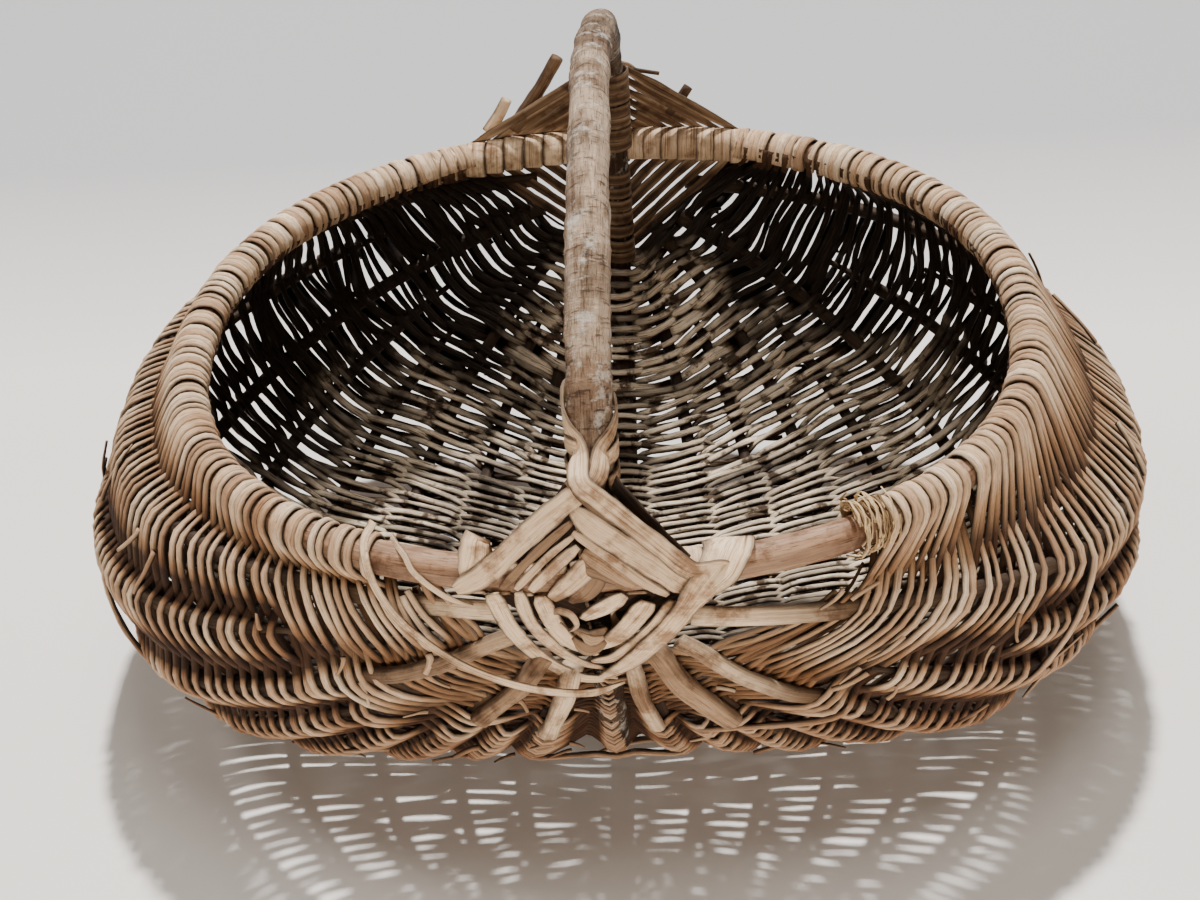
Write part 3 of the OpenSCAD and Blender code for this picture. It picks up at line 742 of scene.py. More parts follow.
def build_weave():
    q4 = ROWS // 4
    groups = [("front", 0, q4), ("front_middle", q4, 2 * q4), ("rear_middle", 2 * q4, 3 * q4), ("rear", 3 * q4, ROWS)]
    swap = {"front": ("weave_front_left", "weave_front_right"), "front_middle": ("weave_middle_left", "rim_wrapping_left"),
            "rear_middle": ("weave_middle_right", "rim_wrapping_right"), "rear": ("weave_rear_left", "weave_rear_right")}
    for gname, j0, j1 in groups:
        b = Bag()
        for j in range(j0, j1):
            rng = np.random.default_rng(5000 + j)
            g = (j + 0.5) / ROWS
            pitch = 0.93
            row_t = np.array([np.interp(g, GG, TAB[i]) for i in range(len(SG))])

            row_u = np.array([np.interp(g + 2.0 / ROWS, GG, TAB[i]) for i in range(len(SG))])

            def tf(s, g=g, row_t=row_t):
                # rows sag forward at the keel and lean forward below the rim in front
                sag = 12.5 * sstep(1 - np.abs(np.asarray(s) - 90) / 58.0) * np.clip(np.sin(np.pi * g ** 1.25), 0, 1) ** 0.8
                e = np.minimum(s, 180 - np.asarray(s))
                lean = 4.0 * math.exp(-((g - 0.17) / 0.15) ** 2) * (1 - np.exp(-e / 8.0)) * min(1.0, g / 0.08)
                return np.interp(s, SG, row_t) - sag - lean

            th = rng.uniform(1.45, 1.85)
            X = crossings(tf)
            short = (float(tf(0.0)) < RIM_FROM[0], float(tf(180.0)) < RIM_FROM[1])
            if short[0]:
                X = [c for c in X if c[0] > 6]
            if short[1]:
                X = [c for c in X if c[0] < 167]
            par = j % 2
            ss, oo = [], []
            for k, (s, r, force) in enumerate(X):
                sg = 1 if (k + par) % 2 == 0 else -1
                if rng.uniform() < 0.004 and not force:
                    sg = -sg
                ss.append(s)
                # the first rows run flat behind the cut ends near the eye
                oo.append(sg * 1.7 - 1.0 if force else sg * (r + th + 0.1) + (0.7 if sg > 0 else 0.0))
            S, O = [], []
            for k in range(len(ss) - 1):
                upper_first = (ss[k] + ss[k + 1]) / 2 < 90
                u = np.array([0, .11, .27, .45, .62, .74, .83, .92]) if upper_first else \
                    np.array([0, .08, .17, .26, .38, .55, .73, .89])
                ou, ol = (oo[k], oo[k + 1]) if upper_first else (oo[k + 1], oo[k])
                uu = u if upper_first else 1 - u
                v = sstep(0.06 + (uu - 0.04) / 1.02) if ou > ol else sstep((uu - 0.70) / 0.30)
                S += list(ss[k] + (ss[k + 1] - ss[k]) * u)
                O += list(ou + (ol - ou) * v)
            S.append(ss[-1])
            O.append(oo[-1])
            # a row that stops short runs a little past its last rib
            if short[0]:
                v = rng.uniform(1.0, 3.6)
                S, O = [ss[0] - v, ss[0] - v / 2] + S, [oo[0] - 0.6, oo[0] - 0.2] + O
            if short[1]:
                v = rng.uniform(1.0, 5.0)
                S, O = S + [ss[-1] + v / 2, ss[-1] + v], O + [oo[-1] - 0.2, oo[-1] - 0.6]
            S, O = np.array(S), np.array(O)
            bay = bunch(S / 13.0, np.full(len(S), (20 + 140 * g) / (pitch * 5.0)))
            aa = np.minimum(S, 180 - S)
            amp = 0.42 + 0.85 * np.exp(-((aa - 26) / 24.0) ** 2) * sstep(((20 + 140 * g) - 45) / 35)
            T = tf(S) + pitch * (amp * bay + 0.50 * own(S / 8.0, np.full(len(S), j * 7.31)))
            O = O + 0.55 * own(S / 6.0, np.full(len(S), j * 3.77 + 20))
            W, Wn = wall(S, T), wall_n(S, T)
            pts = W + O[:, None] * Wn
            pts[:, 2] = np.maximum(pts[:, 2], th + 0.1)
            # room to the next row that lies on the same side
            U = tf(S, g + 2.0 / ROWS, row_u)
            tang = unit(np.gradient(wall(S, tf(S)), axis=0))
            gap = wall(S, U) - wall(S, tf(S))
            gap = np.linalg.norm(gap - (gap * tang).sum(-1, keepdims=True) * tang, axis=-1)
            room = np.convolve(np.pad(gap, 2, mode="edge"), np.ones(5) / 5, mode="valid")
            # rec: how deep the strand lies in the wall; the material paints deeper parts darker, as dirt and painted
            # shade
            rec = np.clip((5.2 - O) / 8.0, 0, 1) * (0.5 + 0.5 * sstep((T - 22) / 12))
            wid = rng.uniform(1.4, 2.25)
            tap = rng.uniform(-0.16, 0.16)
            seq = []
            for left in (True, False):
                side = -1 if left else 1
                end = 0 if left else -1
                outside = oo[end] < 0
                t_end, s_end = T[end], ss[end]
                rad = RIM_R + 1.6 + rng.uniform(-0.1, 0.5)
                block = []
                near = 0 if left else 180
                wraps = abs(s_end - near) < 24
                k = pts[end]
                c, e = rim_frame(tf(near) + pitch * rng.uniform(-0.4, 0.4))
                t_rim = tf(near) + pitch * 0.5 * rng.uniform(-1, 1)
                e = e * np.array([side, 1, 1])
                c = c * np.array([side, 1, 1])
                d = k - c
                dx, dz = float(d @ e), float(d[2])
                ang = math.degrees(math.atan2(dz, dx))
                lift = math.degrees(math.acos(min(0.99, rad / math.hypot(dx, dz))))
                if outside:
                    f0 = ang + lift
                    arc = rim_arc(t_rim, side, f0, f0 + 225, rad, pitch * 0.9, 14)
                    wm = 1.44 + 0.20 * rng.uniform(-1, 1) + (0.45 if rng.uniform() < 0.10 else 0)
                    block = [(p, nr, wm, 0.0) for p, nr in arc]
                else:
                    f0 = ang - lift
                    arc = rim_arc(t_rim, side, f0, f0 - 60, rad, -pitch * 0.3, 5)
                    block = [(p, nr, 0.95, 0.8) for p, nr in arc]
                # a few points on the way keep the run to the rim straight
                mid = []
                for q in (0.2, 0.4, 0.6, 0.8):
                    pm = k + (block[0][0] - k) * q
                    mid.append((pm, unit(Wn[end] * (1 - q) + block[0][1] * q) if outside else Wn[end],
                                0.76 + (block[0][2] - 0.76) * q ** 2.4, rec[end] * (1 - q) + block[0][3] * q))
                block = [] if short[0 if left else 1] else mid + block
                if left:
                    seq += [(p, nr, w, r, 99.0) for (p, nr, w, r) in reversed(block)]
                    seq += [(pts[i], Wn[i], 1.0, rec[i], room[i]) for i in range(len(pts))]
                else:
                    seq += [(p, nr, w, r, 99.0) for (p, nr, w, r) in block]
            P = np.array([q[0] for q in seq])
            A = unit(np.array([q[1] for q in seq]))
            Wd = np.array([q[2] for q in seq])
            Rc = np.array([q[3] for q in seq])
            for _ in range(2):
                P[1:-1] = 0.22 * P[:-2] + 0.56 * P[1:-1] + 0.22 * P[2:]
            n = len(P)
            Rm = np.array([q[4] for q in seq])
            Nn = A.copy()
            for i in range(1, n):
                if Nn[i] @ Nn[i - 1] < -0.2:
                    Nn[i] = -Nn[i]
            x = np.linspace(-1, 1, n)
            ii = np.arange(n)
            belly = np.clip((285 - P[:, 2]) / 200, 0, 1) * sstep((200 - P[:, 2]) / 30)
            wv = wid * Wd * (1 + 0.24 * belly) * (1 + tap * x) * (1 + 0.17 * own(ii / 3.5, np.full(n, j * 1.9)))
            back = sstep((P[:, 1] - 40) / 60) * sstep((P[:, 2] - 40) / 40)
            wv = wv * (1 + 0.08 * back)
            wv = np.minimum(wv, np.maximum((0.325 + 0.05 * back) * Rm, 0.85) * (1 + 0.08 * own(ii / 4.0, np.full(n, j * 5.3))))
            hv = th * (1 + tap * x) * (1 + 0.10 * own(ii / 3.0, np.full(n, j * 2.7 + 9)))
            hv = np.where(Wd > 1.25, hv * 0.92, np.minimum(hv, wv * 0.98))
            # inside the bowl this mask paints light and shade: light low on the floor and up the middle of the back, a
            # painted light a little stronger towards the front wall, a painted shadow along the front and a darker left
            # half of the floor; noise adds worn patches
            low = 1 - sstep((P[:, 2] - 28 - 75 * np.exp(-(P[:, 0] / 75) ** 2) * sstep((P[:, 1] - 20) / 60)) / 95)
            front_light = sstep((-P[:, 1] + 80) / 200)
            front_shade = (1 - 0.55 * sstep((30 - P[:, 1]) / 50)) * (1 - 0.22 * sstep((190 - P[:, 1]) / 90) * sstep((-25 - P[:, 0]) / 60))
            wear_and_painted_light = np.clip(low * (0.72 + 0.28 * front_light) * front_shade + 0.22 * deep(P[:, 0] / 38, P[:, 1] / 38), 0, 1)
            d = 0.09 * rng.uniform(-1, 1, (n, 1)) + 0.09 * rng.uniform(-1, 1, (n, 8))
            b.sweep(P, Nn, wv, hv, m=8, power=2.3, rnd=(rng.uniform(), rng.uniform()), inside=wear_and_painted_light, out_dir=A,
                    u0=rng.uniform(0, 50), recess=Rc, disp=d)
        # cut ends and splinters left standing on both faces
        rng = np.random.default_rng(8100 + j0)
        for q in range(46):
            g = (rng.uniform(j0, j1)) / ROWS
            row_t = np.array([np.interp(g, GG, TAB[i]) for i in range(len(SG))])
            s0 = rng.uniform(8, 172)
            ds = rng.uniform(2.5, 6.5) * rng.choice([-1, 1])
            sv = s0 + ds * np.linspace(0, 1, 7)
            out = rng.uniform() < 0.6
            tv = np.interp(sv, SG, row_t) + rng.uniform(-1, 1) * np.linspace(0, 1, 7) ** 2 * 1.6
            ov = (1 if out else -1) * (4.2 + np.linspace(0, 1, 7) ** 1.5 * rng.uniform(1.5, 4.2))
            pp = wall(sv, tv) + ov[:, None] * wall_n(sv, tv)
            if pp[:, 2].min() < 2.5:
                continue
            nn = wall_n(sv, tv)
            rr = rng.uniform(1.0, 1.9)
            tp = np.linspace(1, rng.uniform(0.35, 0.9), 7)
            b.sweep(pp, nn, rr * tp, rr * 0.8 * tp, m=7, power=2.3, rnd=(rng.uniform(0.3, 1), rng.uniform()),
                    inside=np.full(7, 1.0 if pp[0, 2] < 90 else 0.1), out_dir=nn, recess=0.2 if out else 0.8,
                    disp=0.1 * rng.uniform(-1, 1, (7, 7)))
        ob = b.build("weavers_" + gname, M_WEAVER)
        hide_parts(*swap[gname])


ORDER = [a for a, _, _, _ in LEFT] + [90.0] + [180 - a for a, _, _, _ in reversed(RIGHT)]

# ------------------------------------------------------------------ lashings
def on_rod(d, rise, half, n):
    return half * (1 - min(d / rise, 0.999) ** n) ** (1 / n)


AX = [np.array([0, 0, 1.0]), np.array([1.0, 0, 0]), np.array([0, 0, -1.0]), np.array([-1.0, 0, 0])]


def arm_ring(k, d, end, phi, h):
    """A point round the rod on arm k (0 handle, 1 rim right, 2 keel, 3 rim left), d from
    the crossing. phi 0 faces out of the basket, 90 faces the next arm, 180 faces in."""
    if k == 0:
        c, r = np.array([0, end * on_rod(d, HANDLE_RISE, HOOP_HALF, 2.2), RIM_Z + d]), HANDLE_R
    elif k == 2:
        c, r = np.array([0, end * on_rod(d, 187.0, HOOP_HALF, 3.05), RIM_Z - d]), KEEL_R + 0.5
    else:
        c, r = np.array([d * AX[k][0], end * on_rod(d, 218.0, 213.0, 2.2), RIM_Z]), RIM_R
    f = math.radians(phi)
    front = abs(c[1]) + r + h
    if k % 2 == 0:
        apex = 213.0 + RIM_R + 0.8 + h
        front = max(front, apex + (front - apex) * min(1, d / 40.0))
    rf = front - abs(c[1])
    o = np.array([0, float(end), 0])
    n = AX[(k + 1) % 4]
    return c + (rf if math.cos(f) > 0 else r + h) * math.cos(f) * o + (r + h) * math.sin(f) * n, \
        unit(math.cos(f) * o + math.sin(f) * n)


def strip(b, pts, refs, w, h, seed, rnd, inside=0.0, step=2.0, rag=0.10, tw=0.12, ends=(True, True), dirt_and_shade=None, odir=(0, 1.0, 0)):
    """A flat splint through pts; w is the half width, given at the points."""
    pts = np.asarray(pts, float)
    w = np.broadcast_to(np.asarray(w, float), (len(pts),))
    dq = np.zeros(len(pts)) if dirt_and_shade is None else np.asarray(dirt_and_shade, float)
    A = np.concatenate([pts, w[:, None] * 1.0, np.asarray(refs, float), dq[:, None]], 1)
    E = np.concatenate([[2 * A[0] - A[1]], A, [2 * A[-1] - A[-2]]])
    out = []
    for i in range(len(A) - 1):
        p0, p1, p2, p3 = E[i], E[i + 1], E[i + 2], E[i + 3]
        n = max(1, int(round(np.linalg.norm((p2 - p1)[:3]) / step)))
        u = (np.arange(n) / n)[:, None]
        out.append(0.5 * (2 * p1 + (p2 - p0) * u + (2 * p0 - 5 * p1 + 4 * p2 - p3) * u ** 2
                          + (3 * p1 - p0 - 3 * p2 + p3) * u ** 3))
    out.append(A[-1:])
    out = np.concatenate(out)
    P, wv, ref = out[:, :3], out[:, 3], unit(out[:, 4:7])
    n = len(P)
    nz = Noise2(seed)
    ii = np.arange(n)
    e0, e1 = np.clip(0.72 + ii * 0.14, 0, 1), np.clip(0.72 + (n - 1 - ii) * 0.14, 0, 1)
    wv = wv * (1 + rag * nz(ii / 3.0, 0 * ii + .5) + 0.5 * rag * nz(ii / 1.1, 0 * ii + 9.5)) * (e0 if ends[0] else 1) * (e1 if ends[1] else 1)
    hv = h * (1 + 0.2 * nz(ii / 4.0, 0 * ii + 4.5))
    m = 14
    # slightly uneven faces: a splint split from a rod is never flat
    d = 0.10 * nz(ii[:, None] / 5.0 + 0 * np.arange(m)[None, :], np.arange(m)[None, :] * 1.3 + 0 * ii[:, None] + 20)
    b.sweep(P, ref, np.maximum(wv, 0.4), hv, m=m, power=4.0, rnd=rnd, inside=inside, twist=tw * nz(ii / 10.0, 0 * ii + 8.5), disp=d,
            dirt_and_shade=None if dirt_and_shade is None else np.clip(out[:, 7], 0, 1), out_dir=None if dirt_and_shade is None else np.broadcast_to(np.asarray(odir, float), (n, 3)))


def eye_face(x, z):
    return 222.4 - 0.40 * (math.sqrt((z - 200) ** 2 + 64) - 8) - 3.5 * (x / 59.0) ** 2


FRONT_BANDS = [
    ("mid1", [[3.3, 208.1], [-4.4, 198.1], [-12.2, 189.9]], [3.4, 4.4, 1.9], 0.0, 0.10),
    ("mid3", [[-7.2, 212.4], [2.5, 210.2], [10.1, 202.2]], [4.4, 5.3, 2.9], 0.6, 0.12),
    ("ul5", [[-1.3, 212.2], [-10.2, 204.1], [-20.5, 192.9]], [4.4, 4.4, 3.6], 0.8, 0.60),
    ("ur4", [[-5.1, 216.5], [2.7, 212.3], [10.3, 206.1], [17.1, 200.1]], [2.9, 3.9, 3.4, 2.4], 1.2, 0.25),
    ("mid2", [[11.9, 194.8], [4.9, 189.4], [-7.6, 177.8]], [3.4, 4.9, 2.9], 1.4, 0.85),
    ("mid4", [[-13.8, 169.4], [-5.9, 163.8], [2.7, 168.6]], [2.9, 4.6, 2.4], 1.0, 0.20),
    ("lr3", [[21.9, 188.9], [14.0, 174.9], [4.9, 160.7], [-5.4, 151.4]], [4.6, 5.2, 4.6, 2.4], 1.6, 0.80),
    ("ll3", [[-25.1, 195.6], [-20.6, 174.8], [-13.8, 157.9], [-3.4, 146.9]], [3.7, 4.3, 3.8, 1.8], 1.8, 0.70),
    ("ul3", [[-8.7, 223.7], [-21.1, 215.2], [-35.5, 200.0]], [1.3, 1.6, 1.6], 2.0, 0.55),
    ("ul4", [[-7.1, 219.1], [-17.8, 211.0], [-28.9, 199.2]], [2.0, 2.5, 2.5], 1.8, 0.70),
    ("ul2", [[-9.2, 229.4], [-22.6, 219.7], [-33.4, 210.0], [-41.8, 200.0]], [1.5, 1.9, 2.0, 1.7], 1.8, 0.12),
    ("ll2", [[-34.2, 198.8], [-31.2, 179.2], [-23.0, 158.2], [-12.1, 143.3], [-1.4, 135.4]], [2.7, 3.0, 3.0, 2.5, 1.6], 2.6, 0.60),
    ("ur3", [[-9.0, 225.5], [0.4, 219.4], [10.6, 211.5], [20.8, 203.0], [30.7, 194.0]], [1.7, 2.0, 2.1, 2.1, 2.0], 2.4, 0.55),
    ("lr2", [[32.7, 189.2], [24.9, 173.7], [13.0, 155.5], [4.1, 146.2], [-6.1, 141.8]], [2.8, 3.3, 3.4, 3.0, 1.8], 2.6, 0.75),
    ("leftpiece", [[-51.4, 222.2], [-53.1, 214.9], [-57.4, 203.8]], [5.3, 6.3, 3.4], 2.4, 0.95),
    ("ll1", [[-45.9, 198.1], [-40.3, 174.1], [-32.6, 154.8], [-22.8, 139.2], [-10.3, 128.9], [4.7, 126.2]], [4.1, 4.0, 3.9, 3.7, 3.2, 2.2], 3.6, 0.72),
    ("ur2", [[-8.4, 235.5], [0.9, 228.2], [11.1, 221.2], [27.7, 209.0], [39.7, 197.6]], [3.2, 5.0, 5.2, 5.1, 4.5], 3.8, 0.62),
    ("ul1", [[-8.1, 241.5], [-18.1, 234.5], [-33.0, 222.6], [-49.1, 208.7], [-61.9, 201.3]], [4.5, 4.8, 4.9, 4.8, 3.4], 4.6, 0.66),
    ("ursplit", [[-10.8, 247.7], [-4.5, 241.6], [4.8, 234.6], [15.4, 228.4]], [0.8, 1.4, 1.7, 1.8], 5.2, 0.05),
    ("ur1", [[-5.0, 249.1], [3.4, 241.3], [15.1, 231.5], [28.6, 220.0], [42.3, 208.9]], [4.2, 4.3, 4.0, 4.1, 4.2], 5.9, 0.72),
    ("lr1", [[46.5, 200.7], [38.9, 187.5], [29.3, 169.9], [17.5, 152.2], [8.4, 140.6], [-2.5, 132.0]], [7.3, 5.6, 5.1, 4.9, 4.2, 2.2], 5.4, 0.88),
]


def face_ref(x, z):
    e = 0.5
    gx = (eye_face(x + e, z) - eye_face(x - e, z)) / (2 * e)
    gz = (eye_face(x, z + e) - eye_face(x, z - e)) / (2 * e)
    return unit(np.array([-gx, -1.0, -gz]))


def build_front_eye():
    b = Bag()
    for q, (nm, pts, w, lay, shade) in enumerate(FRONT_BANDS):
        P, R, Wd = [], [], list(w)
        for i, (x, z) in enumerate(pts):
            # ends are pushed under their neighbours
            tuck = 1.3 if (i in (0, len(pts) - 1) and nm not in ("ul1", "ur1", "lr1")) else 0.0
            P.append([x, -eye_face(x, z) - lay * 0.8 + tuck, z])
            R.append(face_ref(x, z))
        if nm == "ur1":
            # comes round the left of the handle
            pre, pr, pw = [], [], []
            for phi, dz, ww in ((200, 71, 3.2), (240, 70, 3.6), (275, 67, 4.0), (305, 61, 4.2), (335, 55, 4.3)):
                p, rr = arm_ring(0, dz, -1, phi, 1.6)
                pre.append(p)
                pr.append(rr)
                pw.append(ww)
            P, R, Wd = pre + P, pr + R, pw + Wd
            P += [[55, -216.5, 205], [58, -208, 192]]
            R += [unit(np.array([0.3, -1, -.2])), unit(np.array([.3, -.6, -.8]))]
            Wd += [3.6, 2.6]
        if nm == "ul1":
            # comes round the right of the handle, under the other
            pre, pr, pw = [], [], []
            for phi, dz, ww in ((160, 66, 2.8), (120, 66, 3.0), (85, 63, 3.1), (55, 59, 3.3), (25, 54, 3.8)):
                p, rr = arm_ring(0, dz, -1, phi, 0.9)
                pre.append(p)
                pr.append(rr)
                pw.append(ww)
            P, R, Wd = pre + [[2.5, -206.5, 248.0]] + P, pr + [unit(np.array([0.1, -1, .35]))] + R, pw + [4.2] + Wd
        if nm == "lr1":
            # comes over the rim from behind as a wide leaf
            pre, pr, pw = [], [], []
            for phi, dd, ww in ((190, 62, 5.0), (235, 62, 7.0), (262, 60, 9.0), (288, 58, 9.8), (320, 55, 9.2)):
                p, rr = arm_ring(1, dd, -1, phi if False else phi, 2.4)
                pre.append(p)
                pr.append(rr)
                pw.append(ww)
            P, R, Wd = pre + P, pr + R, pw + Wd
        if nm == "leftpiece":
            pre, pr, pw = [], [], []
            for phi, dd, ww in ((170, 49, 4.0), (130, 50, 4.6), (100, 51, 5.0)):
                p, rr = arm_ring(3, dd, -1, phi, 1.4)
                pre.append(p)
                pr.append(rr)
                pw.append(ww)
            P, R, Wd = pre + P, pr + R, pw + Wd
        strip(b, P, R, [v * 1.13 for v in Wd], 0.62, 900 + q, (shade, 0.5), rag=0.09, tw=0.08)
    # curl of bark and the wrinkled knot in the middle
    cu = [[-19.6, -221.0, 186.1], [-16.6, -225.4, 190.2], [-11.9, -226.4, 188.4], [-9.9, -224.6, 181.3], [-13.4, -222.6, 176.5], [-17.0, -222.0, 180.5]]
    strip(b, cu, [unit(np.array(p) - np.array([-14, -219, 183])) for p in cu], 1.7, 0.5, 951, (0.55, .5), rag=0.2)
    kn = [[-12, -219.5, 170.5], [-8, -222.8, 167.5], [-3, -223.0, 166.0], [2, -221.0, 168.5]]
    strip(b, kn, [(0, -1, -.3)] * 4, [2.0, 3.0, 3.4, 1.8], 1.5, 952, (0.15, .5), rag=0.35, tw=0.6)
    kn = [[-9, -221.5, 174], [-4, -224.0, 171.5], [1.5, -223.0, 172.5]]
    strip(b, kn, [(0, -1, .3)] * 3, [1.5, 2.0, 1.2], 1.0, 953, (0.4, .5), rag=0.35, tw=0.6)
    # dull backing rounds, seen through the cracks and painted near black there as shade, and the turns behind the rods
    for i in range(5):
        for k in range(4):
            d0 = 9 + i * 10.6
            db = 7 + i * (8.3 if k in (0, 3) else 10.0)
            j = (k + 1) % 4
            pa, ra = arm_ring(k, db, -1, 30, 0.4)
            pb, rb = arm_ring(j, db, -1, -30, 0.4)
            inn = np.array([0, 2.2, 0])
            strip(b, [pa + inn, pa * .7 + pb * .3 + inn, pa * .3 + pb * .7 + inn, pb + inn], [ra, (0, -1, 0), (0, -1, 0), rb],
                  4.3, 0.5, 960 + i * 4 + k, (0.1, .5), inside=0.88, ends=(False, False))
            pts, refs = [], []
            for phi in (40, 70, 100, 130, 160, 190, 220, 250, 280, 310, 330):
                p, rr = arm_ring(k, d0 + (phi - 185) / 60.0, -1, phi, 0.9)
                pts.append(p)
                refs.append(rr)
            strip(b, pts, refs, 4.4, 0.6, 1000 + i * 4 + k, (0.35 + 0.5 * ((i * 7 + k * 3) % 5) / 5, .5), ends=(False, False))
    ob = b.build("front_eye", M_SPLINT)
    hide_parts("front_eye_lashing")


def build_rear_eye():
    b = Bag()
    rng = np.random.default_rng(77)
    rounds = 7
    D = [[10 + 8.4 * i for i in range(rounds)], [11 + 10.6 * i for i in range(rounds)],
         [10 + 8.6 * i for i in range(rounds)], [12 + 11.6 * i for i in range(rounds)]]
    for i in range(rounds):
        for k in range(4):
            j = (k + 1) % 4
            h0, h1 = 1.7 + 0.12 * i, 0.9 + 0.12 * i
            w = rng.uniform(2.7, 3.4)
            wr = rng.uniform(5.2, 6.1) if j % 2 else rng.uniform(3.4, 4.0)
            w0 = rng.uniform(5.0, 5.7) if k % 2 else 3.4
            jit = rng.uniform(-1.0, 1.0)
            # dr: painted shade on the faces that look into the basket, strong on the handle and keel turns, none on the
            # outer rim turns
            pts, refs, ws, dr = [], [], [], []
            below = 1.0 if 2 in (k, j) else 0.82
            d0, d1 = D[k][i] + jit, D[j][i] - jit
            for phi in (-25, 15, 50):
                p, rr = arm_ring(k, d0, 1, phi, h0)
                pts.append(p)
                refs.append(rr)
                ws.append(w0 * 0.9)
                dr.append(0.9 if k % 2 == 0 else 0.2)
            ws[-1] = (w0 + w) / 2
            pe, re = arm_ring(j, d1, 1, -50, h1)
            ps = pts[-1]
            for u in (0.3, 0.7):
                pts.append(ps + (pe - ps) * u + np.array([0, rng.uniform(-0.5, 1.0), 0]))
                refs.append(unit(np.array([0, 1.0, 0]) + 0.15 * rng.uniform(-1, 1, 3)))
                ws.append(w)
                dr.append(below)
            for phi in (-50, -15, 20, 55, 90, 125, 160, 195, 230, 265, 300, 335):
                p, rr = arm_ring(j, d1 + (phi + 50) / 110.0, 1, phi, h1 + (0.5 if phi > 200 else 0))
                pts.append(p)
                refs.append(rr)
                ws.append(w if phi < -20 else wr)
                dr.append(0.95 if j % 2 == 0 else 0.0 if phi > 40 else below * 0.6)
            dim = 0.0 if j % 2 else 0.35
            strip(b, pts, refs, ws, 0.6, 1100 + i * 4 + k, (rng.uniform(0.45, 1.0), 0.5), inside=0.0, rag=0.07, tw=0.06, ends=(False, False), dirt_and_shade=dr)
    # loose turns further out along the rim
    for x in (-96, -106):
        pts, refs = [], []
        for phi in range(-120, 300, 30):
            p, rr = arm_ring(3, -x + phi / 70.0, 1, phi, 1.3)
            pts.append(p)
            refs.append(rr)
        strip(b, pts, refs, 4.6, 0.6, 1180 + int(-x), (0.8, .5), ends=(False, False))
    # broken ends sticking out round the handle
    # the last argument sets how much darker a stub is made
    def stub(p0, p1, r, shade, seed, darken=0.0):
        P = smooth_path([p0, (np.array(p0) + np.array(p1)) / 2 + np.array([0.6, 0.5, -0.4]), p1], 2.0)
        n = len(P)
        b.sweep(P, (0, 1, 0.2), np.linspace(r, r * 0.85, n), np.linspace(r * 0.75, r * 0.7, n), m=10, power=2.6, rnd=(shade, .5), inside=darken,
                disp=bark(n, 10, seed, 0.08))
    stub((-76, 209, 214), (-63, 213, 233), 4.2, 0.75, 1201)
    stub((-60, 207, 216), (-30, 208, 261), 4.4, 0.2, 1202, 0.45)
    stub((8, 200, 256), (30, 203, 250), 1.4, 0.1, 1203, 0.5)
    stub((34, 207, 222), (47, 211, 237), 3.2, 0.1, 1204, 0.5)
    stub((30, 208, 236), (52, 213, 222), 1.3, 0.6, 1205)
    stub((27, 209, 240), (33, 212, 232), 1.0, 0.4, 1206)
    cu = smooth_path([(6, 202, 259), (13, 203, 256), (19, 204, 248), (17, 203, 239), (9, 201, 234), (1, 200, 234)], 1.6)
    b.sweep(cu, (0, 1, 0), 1.1, 0.5, m=8, power=3, rnd=(0.9, .5), inside=0.0)
    ob = b.build("rear_eye", M_SPLINT)
    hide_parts("rear_eye_lashing")


def build_loose():
    b = Bag()
    pts = [[-101, -186, 213], [-104, -198, 210], [-101, -208, 198], [-93, -214, 184], [-80, -219, 171],
           [-63, -222, 158], [-44, -222, 147], [-25, -220, 139], [-6, -217, 135], [9, -215, 139]]
    P = smooth_path(pts, 2.5)
    n = len(P)
    nz = Noise2(77)
    ii = np.arange(n)
    w = 2.0 * (1 + 0.1 * nz(ii / 9.0, 0 * ii + .5)) * np.clip((n - ii) / 6.0, 0.35, 1)
    b.sweep(P, (0, -1, 0.25), w, 0.6, m=10, power=4, rnd=(0.9, 0.5), inside=0.0, twist=0.5 * nz(ii / 18.0, 0 * ii + 2.5))
    pts = [[-93, -188, 206], [-89, -199, 209], [-85, -206, 208.5], [-82, -210, 203.5], [-77.5, -212, 199],
           [-72.5, -213, 194.5], [-67.5, -213.5, 190.5], [-61.5, -213.5, 187], [-56.5, -212, 184]]
    P = smooth_path(pts, 2.0)
    n = len(P)
    ii = np.arange(n)
    w = 1.5 * (1 + 0.12 * nz(ii / 7.0, 0 * ii + 5.5)) * np.clip((n - ii) / 6.0, 0.35, 1)
    b.sweep(P, (0, -1, 0.4), w, 0.5, m=10, power=4, rnd=(0.8, 0.4), inside=0.0, twist=0.4 * nz(ii / 12.0, 0 * ii + 7.5))
    ob = b.build("sprung_splint", M_SPLINT)
    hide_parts("loose_splint")


def build_tuft():
    b = Bag()
    rng = np.random.default_rng(9)
    for i in range(44):
        t = 32.5 + rng.uniform(-1.9, 1.9)
        up = rng.uniform(0, 9.0) if i % 2 else 0.0
        f0 = rng.uniform(-120, 200)
        f1 = f0 + rng.uniform(120, 300)
        rad = RIM_R + rng.uniform(0.6, 4.5)
        pts = []
        for k in range(14):
            f = math.radians(f0 + (f1 - f0) * k / 13)
            c, e = rim_frame(t + 1.6 * (k / 13 - 0.5) * rng.uniform(0.5, 1.5))
            lift = up * max(0.0, math.sin(f)) ** 2
            pts.append(c + (rad + lift + rng.uniform(-0.6, 0.6)) * (math.cos(f) * e + math.sin(f) * np.array([0, 0, 1.0])))
        if rng.uniform() < 0.6:
            pts.append(pts[-1] + (pts[-1] - pts[-2]) * rng.uniform(0.5, 2.0) + rng.uniform(-2, 2, 3))
        P = smooth_path(pts, 2.0)
        b.sweep(P, (0.3, 0.2, 1), rng.uniform(0.35, 0.8), rng.uniform(0.2, 0.4), m=6, rnd=(rng.uniform(), 0.5), inside=0.0)
    ob = b.build("grass_tuft", M_STRAW)
    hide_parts("straw_tuft")


build_handle()
build_rim()
build_ribs()
build_weave()
build_front_eye()
build_rear_eye()
build_loose()
build_tuft()

